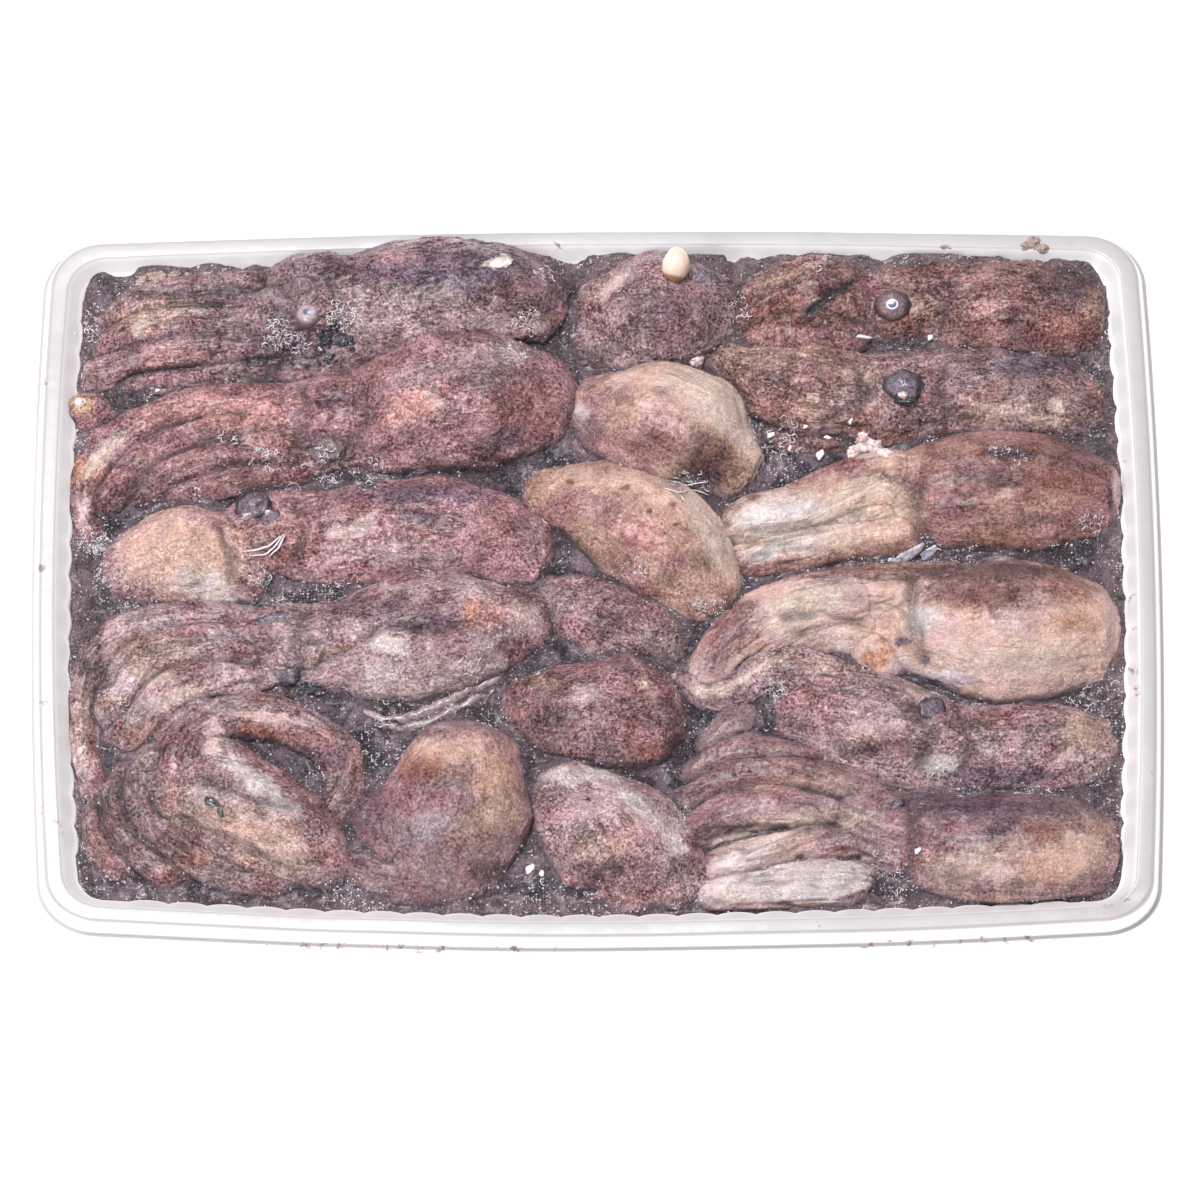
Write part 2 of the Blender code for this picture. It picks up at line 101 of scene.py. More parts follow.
# %% Lamps and surround
def add_lamp(name, place, size, power):
    """A square soft lamp that points at the tray."""
    data = bpy.data.lights.new(name, "AREA")
    data.shape = "SQUARE"
    data.size = size
    data.energy = power
    lamp = bpy.data.objects.new(name, data)
    bpy.context.collection.objects.link(lamp)
    lamp.location = place
    lamp.rotation_euler = (AIM - Vector(place)).to_track_quat("-Z", "Y").to_euler()


add_lamp("overhead", (-0.22, 0.38, 1.3), 0.38, 21.0)
add_lamp("front_left", (-0.8, -0.85, 0.9), 0.5, 9.6)
world = bpy.data.worlds.new("surround")
bpy.context.scene.world = world
world.use_nodes = True
world.node_tree.nodes["Background"].inputs["Color"].default_value = (1.0, 1.0, 1.0, 1.0)
world.node_tree.nodes["Background"].inputs["Strength"].default_value = 0.45
bpy.context.scene.view_settings.view_transform = "Standard"

bpy.ops.object.select_all(action="DESELECT")
bpy.ops.mesh.primitive_plane_add(size=6.0, location=(0.0, 0.0, 0.0))
floor = bpy.context.object
floor.name = "floor"
floor_look = bpy.data.materials.new("floor_white")
floor_look.use_nodes = True
floor_inputs = floor_look.node_tree.nodes["Principled BSDF"].inputs
floor_inputs["Base Color"].default_value = (0.97, 0.97, 0.97, 1.0)
floor_inputs["Roughness"].default_value = 0.9
floor_inputs["Specular IOR Level"].default_value = 0.1
floor_inputs["Emission Color"].default_value = (1.0, 1.0, 1.0, 1.0)
floor_inputs["Emission Strength"].default_value = 0.5
floor.data.materials.append(floor_look)
print("2 lamps and a floor")

# %% [markdown]
# ## A palette
#
# Octopus skin is never one colour: mauve, brown and cream lie side by side. We
# name the colours as a painter would, and write each as a screen colour.
# Blender calculates with light, not with screen values, so a small function
# converts.

# %% Palette
PALETTE = {
    "mauve": (160, 122, 127), "dusk": (98, 74, 88), "grey": (153, 129, 130), "palemauve": (202, 172, 176),
    "brown": (134, 98, 93), "umber": (84, 58, 57), "rust": (152, 96, 82), "orange": (202, 142, 112),
    "tan": (192, 156, 138), "beige": (214, 184, 168), "cream": (240, 214, 196), "peach": (230, 188, 170),
    "apricot": (218, 170, 146), "rose": (190, 140, 138), "rosewood": (156, 116, 116),
    "salmon": (216, 154, 146), "pink": (238, 200, 198), "white": (244, 230, 226),
    "palegrey": (212, 198, 196), "slate": (84, 74, 96), "lavender": (180, 162, 176),
    "olive": (148, 130, 114), "amber": (196, 158, 116), "ink": (44, 36, 52),
}


def light_from_screen(colour):
    """Linear light values of a screen colour written as 0 to 255."""
    share = np.array(colour, float) / 255
    return np.where(share <= 0.04045, share / 12.92, ((share + 0.055) / 1.055) ** 2.4)


TONES = {name: light_from_screen(colour) for name, colour in PALETTE.items()}
print(f"{len(TONES)} tones")

# %% [markdown]
# ## Small helpers
#
# An operator works on whatever is selected, so every step selects its piece
# first. Vertices are read and written as whole arrays: a skin has tens of
# thousands of them, and a loop in Python would take minutes.


# %% Helpers for pieces
def activate(piece):
    """Select one object only and make it the active one."""
    bpy.ops.object.select_all(action="DESELECT")
    piece.select_set(True)
    bpy.context.view_layer.objects.active = piece


def apply_modifier(piece, kind, **settings):
    """Add a modifier with its settings and apply it at once."""
    activate(piece)
    modifier = piece.modifiers.new(kind.lower(), kind)
    for name, value in settings.items():
        setattr(modifier, name, value)
    bpy.ops.object.modifier_apply(modifier=modifier.name)


def get_points(mesh):
    """Vertex places in mm, one row each."""
    values = np.empty(len(mesh.vertices) * 3, np.float32)
    mesh.vertices.foreach_get("co", values)
    return values.reshape(-1, 3).astype(float) / MM


def set_points(mesh, points):
    mesh.vertices.foreach_set("co", (points * MM).astype(np.float32).ravel())
    mesh.update()


def get_normals(mesh):
    values = np.empty(len(mesh.vertices) * 3, np.float32)
    mesh.vertex_normals.foreach_get("vector", values)
    return values.reshape(-1, 3).astype(float)


def set_value(mesh, name, values):
    """Store one number for each vertex, which a material can read by name."""
    layer = mesh.attributes.new(name, "FLOAT", "POINT")
    layer.data.foreach_set("value", values.astype(np.float32))


def set_vector(mesh, name, values):
    layer = mesh.attributes.new(name, "FLOAT_VECTOR", "POINT")
    layer.data.foreach_set("vector", values.astype(np.float32).ravel())


def set_colour(mesh, name, values):
    layer = mesh.attributes.new(name, "FLOAT_COLOR", "POINT")
    layer.data.foreach_set("color", np.c_[values, np.ones(len(values))].astype(np.float32).ravel())


def join(pieces, name):
    """Make several objects one, as Ctrl+J does."""
    bpy.ops.object.select_all(action="DESELECT")
    for piece in pieces:
        piece.select_set(True)
    bpy.context.view_layer.objects.active = pieces[0]
    if len(pieces) > 1:
        bpy.ops.object.join()
    pieces[0].name = pieces[0].data.name = name
    return pieces[0]


def finish_piece(piece, look, node=None):
    """Give a piece its material and its body, and hide the node it stands for."""
    piece.data.materials.clear()
    piece.data.materials.append(look)
    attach(piece, "root")
    if node:
        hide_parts(node)
    piece.data.calc_loop_triangles()
    print(f"{piece.name}: {len(piece.data.loop_triangles)} triangles")


# %% [markdown]
# ## Noise for shapes
#
# Nature's unevenness is noise: random values on a lattice, eased between the
# lattice points. Summing it at ever finer scales gives lumps, wrinkles and
# grain. The same seed always gives the same surface.


# %% Noise
def noise(points, seed):
    """Smooth noise from -1 to 1 at each row of points, with features one unit wide."""
    cell = np.floor(points).astype(np.int64)
    part = points - cell
    ease = part**3 * (part * (part * 6 - 15) + 10)
    total = np.zeros(len(points))
    for corner in itertools.product((0, 1), repeat=3):
        at = cell + corner
        key = (at[:, 0] * 73856093) ^ (at[:, 1] * 19349663) ^ (at[:, 2] * 83492791) ^ (seed * 2654435761)
        key = ((key ^ (key >> 13)) * 1274126177) & 0xFFFFFFFF
        key = ((key ^ (key >> 15)) * 2246822519) & 0xFFFFFFFF
        total += np.prod(np.where(corner, ease, 1 - ease), axis=1) * ((key ^ (key >> 16)) / 2**31 - 1)
    return total


def layered_noise(points, seed, layers=3, falloff=0.5):
    """Noise summed at halving widths, still about -1 to 1."""
    total, weight = np.zeros(len(points)), 0.0
    for layer in range(layers):
        share = falloff**layer
        total += share * noise(points * 2.0**layer + 17.3 * layer, seed + layer)
        weight += share
    return total / weight


def ramp(values, low, high):
    """0 below low, 1 above high, and an eased rise between them."""
    share = np.clip((values - low) / (high - low), 0.0, 1.0)
    return share * share * (3 - 2 * share)


print("noise from", noise(np.array([[0.2, 0.3, 0.4]]), 1))

# %% [markdown]
# ## Materials from shared effects
#
# Skin and ice share some effects: a mottle of soft blotches, a fine grain, and
# the white glitter of frost; the roe, the eyes and other small things use the
# mottle too. Each effect is a node group, built once and placed in each material
# that uses it, with its own values. A group only hands out masks and heights;
# the shader itself stays in the material.


# %% Helpers for node trees
class Tree:
    """A node tree under construction."""

    def __init__(self, tree):
        self.tree = tree

    def fill(self, node, values):
        """Link each value that is a socket, and set each that is a constant."""
        for socket, value in values.items():
            if isinstance(value, bpy.types.NodeSocket):
                self.tree.links.new(value, node.inputs[socket])
            else:
                node.inputs[socket].default_value = value

    def node(self, kind, values=None, **settings):
        made = self.tree.nodes.new(kind)
        for name, value in settings.items():
            setattr(made, name, value)
        self.fill(made, values or {})
        return made

    def maths(self, operation, first, second=0.0, clamp=False):
        made = self.node("ShaderNodeMath", {0: first, 1: second}, operation=operation, use_clamp=clamp)
        return made.outputs[0]

    def times(self, first, second, clamp=False):
        return self.maths("MULTIPLY", first, second, clamp)

    def plus(self, first, second):
        return self.maths("ADD", first, second)

    def minus(self, first, second):
        return self.maths("SUBTRACT", first, second)

    def most(self, first, second):
        return self.maths("MAXIMUM", first, second)

    def gap(self, value, middle=0.5):
        """How far a value lies from another, such as noise from its middle."""
        return self.maths("ABSOLUTE", self.minus(value, middle))

    def spread(self, value, low, high, to_low=0.0, to_high=1.0):
        """Map a value from one range to another, with an eased rise."""
        made = self.node("ShaderNodeMapRange", {"Value": value, "From Min": low, "From Max": high,
                                                "To Min": to_low, "To Max": to_high})
        made.interpolation_type = "SMOOTHSTEP"
        return made.outputs[0]

    def noise(self, vector, scale, detail=3.0, roughness=0.6, distortion=0.0):
        made = self.node("ShaderNodeTexNoise", {"Vector": vector, "Scale": scale, "Detail": detail,
                                                "Roughness": roughness, "Distortion": distortion})
        return made.outputs["Fac"]

    def mix(self, factor, first, second, blend="MIX"):
        made = self.node("ShaderNodeMix", {0: factor, 6: first, 7: second}, data_type="RGBA",
                         blend_type=blend)
        return made.outputs[2]

    def group(self, name, values):
        return self.node("ShaderNodeGroup", values, node_tree=bpy.data.node_groups[name]).outputs

    def attribute(self, name, output="Fac"):
        return self.node("ShaderNodeAttribute", attribute_name=name).outputs[output]

    def combine(self, red, green, blue):
        return self.node("ShaderNodeCombineColor", {"Red": red, "Green": green, "Blue": blue}).outputs[0]

    def bump(self, height, strength, distance):
        made = self.node("ShaderNodeBump", {"Height": height, "Strength": strength, "Distance": distance})
        return made.outputs["Normal"]


def new_look(name):
    """A new material: the material, its tree, its shader and the place on the object."""
    look = bpy.data.materials.new(name)
    look.use_nodes = True
    tree = Tree(look.node_tree)
    shader = look.node_tree.nodes["Principled BSDF"]
    return look, tree, shader, tree.node("ShaderNodeTexCoord").outputs["Object"]


def new_group(name, inputs, outputs):
    """An empty node group with its sockets; values are defaults of the inputs."""
    group = bpy.data.node_groups.new(name, "ShaderNodeTree")
    for socket, value in inputs.items():
        kind = "NodeSocketVector" if value is None else "NodeSocketFloat"
        made = group.interface.new_socket(name=socket, in_out="INPUT", socket_type=kind)
        if value is not None:
            made.default_value = value
    for socket in outputs:
        group.interface.new_socket(name=socket, in_out="OUTPUT", socket_type="NodeSocketFloat")
    tree = Tree(group)
    entry = tree.node("NodeGroupInput").outputs
    leave = tree.node("NodeGroupOutput")
    return tree, entry, leave


# %% Group: mottle
# Blotches at two sizes and a fine grain, each swinging about 1, to multiply a colour with.
tree, entry, leave = new_group("mottle", {"Vector": None, "Blotch scale": 160.0, "Grain scale": 1500.0,
                                          "Blotch strength": 0.5, "Grain strength": 0.5}, ["Light", "Height"])
blotch = tree.noise(entry["Vector"], entry["Blotch scale"], 5.0, 0.62, 0.6)
grain = tree.noise(entry["Vector"], entry["Grain scale"], 3.0, 0.7)
blotch_swing = tree.times(tree.minus(blotch, 0.5), entry["Blotch strength"])
grain_swing = tree.times(tree.minus(grain, 0.5), entry["Grain strength"])
swing = tree.plus(blotch_swing, grain_swing)
light = tree.most(tree.plus(tree.times(swing, 4.0), 1.0), 0.15)
tree.fill(leave, {"Light": light, "Height": tree.plus(tree.times(blotch, 0.5), grain)})
print("group: mottle")

# %% Group: frost
# Tiny crystals catch the light as curled white lines and points, in patches.
tree, entry, leave = new_group("frost", {"Vector": None, "Crystal scale": 900.0, "Patch scale": 110.0,
                                         "Amount": 0.5}, ["Mask", "Height"])
curl = tree.noise(entry["Vector"], entry["Crystal scale"], 2.0, 0.55, 1.6)
line = tree.spread(tree.gap(curl), 0.0, 0.022, 1.0, 0.0)
point = tree.spread(tree.noise(entry["Vector"], tree.times(entry["Crystal scale"], 1.9), 1.0), 0.64, 0.72)
patch = tree.noise(entry["Vector"], entry["Patch scale"], 3.0, 0.6)
reach = tree.spread(tree.plus(patch, tree.times(entry["Amount"], 0.4)), 0.58, 0.74)
crystal = tree.most(tree.times(line, 0.8), point)
mask = tree.times(crystal, reach, clamp=True)
tree.fill(leave, {"Mask": mask, "Height": mask})
print("group: frost")


# %% [markdown]
# ## The flesh
#
# Every animal's skin reads four attributes that its own mesh carries: "tone"
# (the painted colour), "ink" (how deep it sits in the dark ice, and
# painted shade in crevices, clefts and on steep flanks), "groove_shade" (painted
# shade in the hollow between two strands of an arm) and "flow" (a direction along
# the limb, so that fine streaks follow it). One function makes the material; the
# four kinds of flesh differ in how blotched, streaked and frosty they are.


# %% Flesh
def make_flesh(name, blotch, grain, fibre, frost, wrinkled, roughness):
    """Wet frozen skin over painted tones."""
    look, tree, shader, place = new_look(name)
    tone = tree.attribute("tone", "Color")
    ink = tree.attribute("ink")
    groove_shade = tree.attribute("groove_shade")
    flow = tree.attribute("flow", "Vector")

    # light and dark: blotches, strands of muscle, hair-fine fibres and grain
    mottle = tree.group("mottle", {"Vector": place, "Blotch scale": 170.0, "Grain scale": 1350.0,
                                   "Blotch strength": blotch, "Grain strength": grain})
    strands = tree.noise(flow, 1.3, 4.0, 0.65, 0.5)
    fibres = tree.noise(flow, 4.4, 4.0, 0.75, 0.8)
    swing = tree.plus(tree.times(tree.minus(strands, 0.5), fibre * 2.0),
                       tree.times(tree.minus(fibres, 0.5), fibre * 3.0))
    curd = tree.noise(place, 760.0, 6.0, 0.85, 0.8)
    curdled = tree.spread(tree.noise(place, 75.0, 3.0, 0.6), 0.36, 0.62, 2.2 * wrinkled, 7.2 * wrinkled)
    swing = tree.plus(swing, tree.times(tree.minus(curd, 0.5), curdled))
    light = tree.times(mottle["Light"], tree.most(tree.plus(swing, 1.0), 0.30))
    pale = tree.spread(tree.node("ShaderNodeRGBToBW", {"Color": tone}).outputs[0], 0.35, 0.70)
    calm = tree.minus(1.0, tree.times(pale, 0.5))
    light = tree.plus(tree.times(tree.minus(light, 1.0), calm), 1.0)
    bands = {"Red": 0.72, "Green": 0.78, "Blue": 0.77}
    for band, share in bands.items():
        bands[band] = tree.plus(tree.times(light, share), 1.0 - share)
    shade = tree.node("ShaderNodeCombineColor", bands).outputs[0]
    colour = tree.mix(1.0, tone, shade, "MULTIPLY")
    glint = tree.times(tree.minus(light, 1.0), 0.115)
    cool = tree.times(glint, 0.88)
    shade = tree.combine(glint, cool, cool)
    colour = tree.mix(1.0, colour, shade, "ADD")
    colour = tree.mix(1.0, colour, (0.012, 0.009, 0.012, 1.0), "LIGHTEN")

    # pink against olive, and violet against tan
    blush = tree.spread(tree.noise(place, 120.0, 3.0, 0.6, 0.6), 0.36, 0.64)
    blushes = tree.mix(blush, (0.97, 0.93, 0.88, 1.0), (1.16, 0.86, 0.90, 1.0))
    colour = tree.mix(0.16, colour, blushes, "MULTIPLY")
    warmth = tree.spread(tree.noise(place, 210.0, 3.0, 0.6), 0.36, 0.64)
    warmths = tree.mix(warmth, (0.92, 0.91, 1.10, 1.0), (1.08, 0.98, 0.88, 1.0))
    colour = tree.mix(0.30, colour, warmths, "MULTIPLY")

    # lines: dark cracks along the muscle, a net of wrinkles, pale tears, and pores
    crack = tree.gap(tree.noise(flow, 1.8, 5.0, 0.62, 1.3))
    net = tree.gap(tree.noise(place, 330.0, 5.0, 0.62, 1.2))
    lines = tree.most(tree.spread(crack, 0.0, 0.040, 1.0, 0.0), tree.spread(net, 0.0, 0.022, 1.0, 0.0))
    lined = tree.spread(tree.noise(place, 105.0, 3.0, 0.6), 0.40, 0.62)
    lines = tree.times(lines, tree.times(lined, tree.times(calm, wrinkled)))
    colour = tree.mix(lines, colour, tree.mix(1.0, colour, (0.22, 0.19, 0.22, 1.0), "MULTIPLY"))
    tear = tree.gap(tree.noise(flow, 1.2, 6.0, 0.66, 2.2))
    torn = tree.spread(tree.noise(place, 140.0, 3.0, 0.6), 0.46, 0.62)
    tears = tree.times(tree.spread(tear, 0.0, 0.022, 1.0, 0.0), tree.times(torn, wrinkled * 0.45))
    colour = tree.mix(tears, colour, (0.62, 0.55, 0.56, 1.0))
    pores = tree.spread(tree.noise(place, 900.0, 3.0, 0.7, 0.8), 0.58, 0.68)
    colour = tree.mix(tree.times(pores, 0.55 * wrinkled), colour, (0.085, 0.050, 0.060, 1.0))
    # painted shade in the grooves, seams and folds pressed into the skin
    colour = tree.mix(tree.times(groove_shade, 0.72), colour, (0.060, 0.044, 0.054, 1.0))

    # the violet haze of the frozen water, which hides the lowest flanks; the same haze and the near-black
    # colour below also paint shade into crevices, clefts and steep flanks
    ragged = tree.plus(ink, tree.times(tree.minus(mottle["Height"], 0.75), 0.7))
    haze_and_shade = tree.times(tree.spread(ragged, 0.02, 0.65), 0.85)
    hazed = tree.mix(1.0, colour, (0.46, 0.43, 0.53, 1.0), "MULTIPLY")
    hazed = tree.mix(0.55, hazed, (0.115, 0.092, 0.118, 1.0))
    colour = tree.mix(haze_and_shade, colour, hazed)
    inky_and_shaded = tree.mix(tree.spread(tree.noise(place, 480.0, 3.0, 0.7), 0.35, 0.65),
                    (0.030, 0.023, 0.040, 1.0), (0.165, 0.130, 0.165, 1.0))
    colour = tree.mix(tree.times(tree.spread(ragged, 0.5, 1.1), 0.85), colour, inky_and_shaded)

    frosting = tree.group("frost", {"Vector": place, "Crystal scale": 620.0, "Patch scale": 95.0,
                                    "Amount": tree.plus(tree.times(ink, 0.5), frost)})
    colour = tree.mix(tree.times(frosting["Mask"], 0.6), colour, (0.70, 0.63, 0.67, 1.0))

    rough = tree.minus(roughness + 0.12, tree.times(mottle["Height"], 0.16))
    height = tree.plus(mottle["Height"], tree.times(strands, 0.8))
    height = tree.plus(height, tree.times(tree.plus(fibres, curd), 0.7))
    height = tree.plus(height, tree.times(frosting["Height"], 0.4))
    height = tree.minus(height, tree.times(lines, 0.45))
    tree.fill(shader, {"Base Color": colour, "Roughness": rough, "Normal": tree.bump(height, 0.9, 0.0013),
                       "Specular IOR Level": 0.5, "Coat Weight": 0.25, "Coat Roughness": 0.3})
    return look


FLESH = {
    "brown_flesh": make_flesh("brown_flesh", 0.72, 1.35, 0.46, 0.36, 0.80, 0.36),
    "pink_flesh": make_flesh("pink_flesh", 0.66, 1.25, 0.44, 0.30, 0.75, 0.36),
    "grey_flesh": make_flesh("grey_flesh", 0.72, 1.35, 0.44, 0.40, 0.80, 0.38),
    "pale_flesh": make_flesh("pale_flesh", 0.50, 0.85, 0.30, 0.18, 0.48, 0.34),
}
print(f"{len(FLESH)} kinds of flesh")

# %% [markdown]
# ## Ice, plastic and the small things
#
# The ice is nearly black-violet where it is clear and grey where it is full of
# frost. The tray is milky plastic with brown smears and specks on its lip. Light
# is painted into it: its upright walls are coloured lighter than its flat faces,
# against their shade, and its inner walls glow faintly, which stands for the
# light that comes through them.


# %% Ice
def make_ice_look():
    look, tree, shader, place = new_look("inky_ice")
    milky = tree.attribute("milky")
    mottle = tree.group("mottle", {"Vector": place, "Blotch scale": 190.0, "Grain scale": 1300.0,
                                   "Blotch strength": 0.75, "Grain strength": 0.9})
    cloud = tree.spread(tree.noise(place, 150.0, 5.0, 0.65, 0.5), 0.40, 0.62)
    clear = tree.mix(cloud, (0.010, 0.007, 0.014, 1.0), (0.118, 0.080, 0.102, 1.0))
    clear = tree.mix(tree.times(milky, 0.85), clear, (0.140, 0.092, 0.098, 1.0))
    light = mottle["Light"]
    shade = tree.combine(light, light, light)
    colour = tree.mix(1.0, clear, shade, "MULTIPLY")
    frosting = tree.group("frost", {"Vector": place, "Crystal scale": 700.0, "Patch scale": 130.0,
                                    "Amount": 0.8})
    colour = tree.mix(tree.times(frosting["Mask"], 0.75), colour, (0.74, 0.66, 0.70, 1.0))
    rough = tree.spread(mottle["Height"], 0.4, 1.1, 0.5, 0.22)
    height = tree.plus(mottle["Height"], tree.times(frosting["Height"], 0.6))
    tree.fill(shader, {"Base Color": colour, "Roughness": rough, "Normal": tree.bump(height, 0.9, 0.0007),
                       "Specular IOR Level": 0.3, "Coat Weight": 0.08, "Coat Roughness": 0.15})
    return look


ICE_LOOK = make_ice_look()


# %% Plastic
def make_plastic_look():
    look, tree, shader, place = new_look("white_plastic")
    dirt = tree.attribute("dirt")
    flat = tree.attribute("flat")
    soot = tree.noise(place, 330.0, 6.0, 0.72, 0.4)
    smear = tree.spread(tree.plus(soot, tree.times(dirt, 0.30)), 0.80, 0.90)
    wash = tree.spread(tree.noise(place, 22.0, 4.0, 0.6), 0.35, 0.75)
    # painted light: one plastic in two colours, a light one for the upright walls, which lifts their shade,
    # and a dark one for flat faces, which holds back the full lamp light on them
    shade_lifted_wall = tree.mix(wash, (0.93, 0.895, 0.91, 1.0), (0.89, 0.83, 0.86, 1.0))
    rim = tree.mix(wash, (0.395, 0.378, 0.39, 1.0), (0.37, 0.348, 0.365, 1.0))
    colour = tree.mix(flat, shade_lifted_wall, rim)
    stain = tree.times(tree.spread(dirt, 0.05, 1.0), tree.spread(soot, 0.35, 0.7), clamp=True)
    colour = tree.mix(tree.times(stain, 0.35), colour, (0.60, 0.50, 0.44, 1.0))
    colour = tree.mix(tree.times(smear, 0.85), colour, (0.16, 0.105, 0.085, 1.0))
    # painted light: the inner walls glow, standing for light that comes through the thin plastic
    painted_glow = tree.mix(flat, colour, (0.0, 0.0, 0.0, 1.0))
    rough = tree.spread(soot, 0.3, 0.7, 0.28, 0.42)
    bump = tree.bump(tree.noise(place, 60.0, 3.0), 0.25, 0.0008)
    tree.fill(shader, {"Base Color": colour, "Emission Color": painted_glow, "Emission Strength": 0.13,
                       "Roughness": rough, "Normal": bump})
    return look


PLASTIC_LOOK = make_plastic_look()
print("ice and plastic")

# %% [markdown]
# ## The tray
#
# The tray is one thin sheet drawn into a mould. Seen from above it is a rounded
# rectangle whose sides bow out a little, and its wall is fluted, which stiffens
# it. We draw its outline once as a ring of edges, then extrude the ring along
# the profile of the wall: floor, wall, ledge, flat flange, skirt, lip, and back
# down the outer face. Each new ring is put in place by the same outline rule.

# %% Outline of the tray
CORNER_RADIUS = 16.0
LEAST_CORNER_RADIUS = 7.0
CORNER_TIGHTENING = 0.85
BOW = 2.2
BOW_GROWTH = 0.1
FLUTE_DEPTH = 0.8
FLUTES = {"long": (24, 10.3), "short": (17, 9.6)}
STEPS_IN_A_FLUTE = 8
STEPS_IN_A_CORNER = 12


def outline(inset, fluting):
    """Points round the tray, inset from its rim, with ribs of a share of the full depth."""
    bow = BOW + BOW_GROWTH * inset
    radius = max(CORNER_RADIUS - CORNER_TIGHTENING * inset, LEAST_CORNER_RADIUS)
    half_x, half_y = HALF_LENGTH - inset, HALF_WIDTH - inset
    points = []
    for quarter in range(4):
        kind = "long" if quarter % 2 == 0 else "short"
        reach, along = (half_y, half_x) if kind == "long" else (half_x, half_y)
        count, pitch = FLUTES[kind]
        straight = along - bow - radius
        edge = count * pitch / 2 / straight
        stations = [(-1.0, 0.0)]
        for step in range(count * STEPS_IN_A_FLUTE + 1):
            rib = abs(math.sin(math.pi * step / STEPS_IN_A_FLUTE)) ** 0.7
            stations.append((edge * (2 * step / (count * STEPS_IN_A_FLUTE) - 1), rib * FLUTE_DEPTH * fluting))
        side = [(u * straight, -(reach - bow * u * u - rib)) for u, rib in stations + [(1.0, 0.0)]]
        for step in range(1, STEPS_IN_A_CORNER):
            angle = math.pi / 2 * (step / STEPS_IN_A_CORNER - 1)
            across = straight + radius * math.cos(angle)
            side.append((across, -(reach - bow - radius) + radius * math.sin(angle)))
        cos, sin = math.cos(quarter * math.pi / 2), math.sin(quarter * math.pi / 2)
        points += [(x * cos - y * sin, x * sin + y * cos) for x, y in side]
    return np.array(points)


# %% Profile of the tray wall
# inset from the rim's outer edge, height, share of the full rib depth, rounding of the corner there
PROFILE = [
    (19.8, 1.0, 0.0, 1.2), (16.4, 3.5, 0.7, 1.5), (9.6, RIM - 3.2, 1.0, 1.0), (6.9, RIM - 0.8, 0.0, 0.8),
    (6.2, RIM, 0.0, 0.35), (2.7, RIM, 0.0, 0.5), (1.9, RIM - 0.6, 0.0, 0.4), (1.1, RIM - 4.4, 0.0, 0.4),
    (0.0, RIM - 4.9, 0.0, 0.3), (0.0, RIM - 6.7, 0.0, 0.25), (0.9, RIM - 6.7, 0.0, 0.25),
    (2.0, RIM - 5.2, 0.0, 0.4), (2.8, RIM - 1.1, 0.0, 0.4), (6.0, RIM - 1.1, 0.0, 0.4),
    (8.7, RIM - 3.8, 1.0, 1.0), (15.5, 2.6, 0.7, 1.5), (18.6, 0.0, 0.0, 1.0),
]
ROUNDING_STEPS = 3


def rounded_profile():
    """The profile with each inner corner turned into a short curve."""
    rows = np.array(PROFILE)
    rings = [rows[0, :3]]
    for before, corner, after in zip(rows, rows[1:], rows[2:]):
        ends = []
        for other in (before, after):
            way = other[:3] - corner[:3]
            share = min(corner[3] / max(np.hypot(way[0], way[1]), 1e-6), 0.45)
            ends.append(corner[:3] + way * share)
        for t in np.linspace(0, 1, ROUNDING_STEPS + 1):
            rings.append((1 - t) ** 2 * ends[0] + 2 * t * (1 - t) * corner[:3] + t * t * ends[1])
    return rings + [rows[-1, :3]]


# %% Extrude the tray
KINK = (139.0, -96.0)   # the creased corner at the front right


def settle(points):
    """The loaded tray has spread unevenly: its front left corner lies further back than the right one."""
    points[:, 1] += 4.0 * ramp(-points[:, 0], 10.0, 170.0) * ramp(-points[:, 1], 20.0, 115.0)
    points[:, 1] += 1.6 * ramp(points[:, 0], 60.0, 160.0) * ramp(-points[:, 1], 90.0, 112.0)
    return points


def warp(points):
    """A thin tray is never quite true: its rim waves a little, and one corner is kinked."""
    lift = ramp(points[:, 2], 8.0, RIM)
    waves = layered_noise(points * 0.022, 5, 2)
    points[:, 2] += (waves * 0.45 - 0.25) * lift
    from_kink = points[:, :2] - KINK
    along = from_kink[:, 0] * 0.8 + from_kink[:, 1] * 0.6
    across = -from_kink[:, 0] * 0.6 + from_kink[:, 1] * 0.8
    kink = np.exp(-(across / 1.1) ** 2) * np.exp(-(along / 6.0) ** 2) * lift
    points[:, 2] -= kink * 0.8
    return settle(points)


def make_tray():
    rings = rounded_profile()
    first = outline(rings[0][0], rings[0][2])
    bpy.ops.object.select_all(action="DESELECT")
    bpy.ops.mesh.primitive_circle_add(vertices=len(first), radius=0.1, fill_type="NOTHING")
    tray = bpy.context.object
    bpy.ops.object.mode_set(mode="EDIT")
    mesh = bmesh.from_edit_mesh(tray.data)
    station = mesh.verts.layers.int.new("station")
    for number, vert in enumerate(mesh.verts):
        vert[station] = number
        vert.co = (*first[number] * MM, rings[0][1] * MM)
    for inset, height, fluting in rings[1:]:
        bpy.ops.mesh.extrude_edges_move()
        ring = outline(inset, fluting)
        mesh = bmesh.from_edit_mesh(tray.data)
        station = mesh.verts.layers.int["station"]
        for vert in mesh.verts:
            if vert.select:
                vert.co = (*ring[vert[station]] * MM, height * MM)
    bpy.ops.mesh.edge_face_add()
    bpy.ops.mesh.select_all(action="DESELECT")
    mesh = bmesh.from_edit_mesh(tray.data)
    for edge in mesh.edges:
        edge.select_set(len(edge.link_faces) == 1)
    bpy.ops.mesh.edge_face_add()
    bpy.ops.mesh.select_all(action="SELECT")
    bpy.ops.mesh.normals_make_consistent(inside=False)
    bpy.ops.object.mode_set(mode="OBJECT")
    tray.name = tray.data.name = "tray_shell"
    points = warp(get_points(tray.data))
    set_points(tray.data, points)
    return tray, points


tray, tray_points = make_tray()

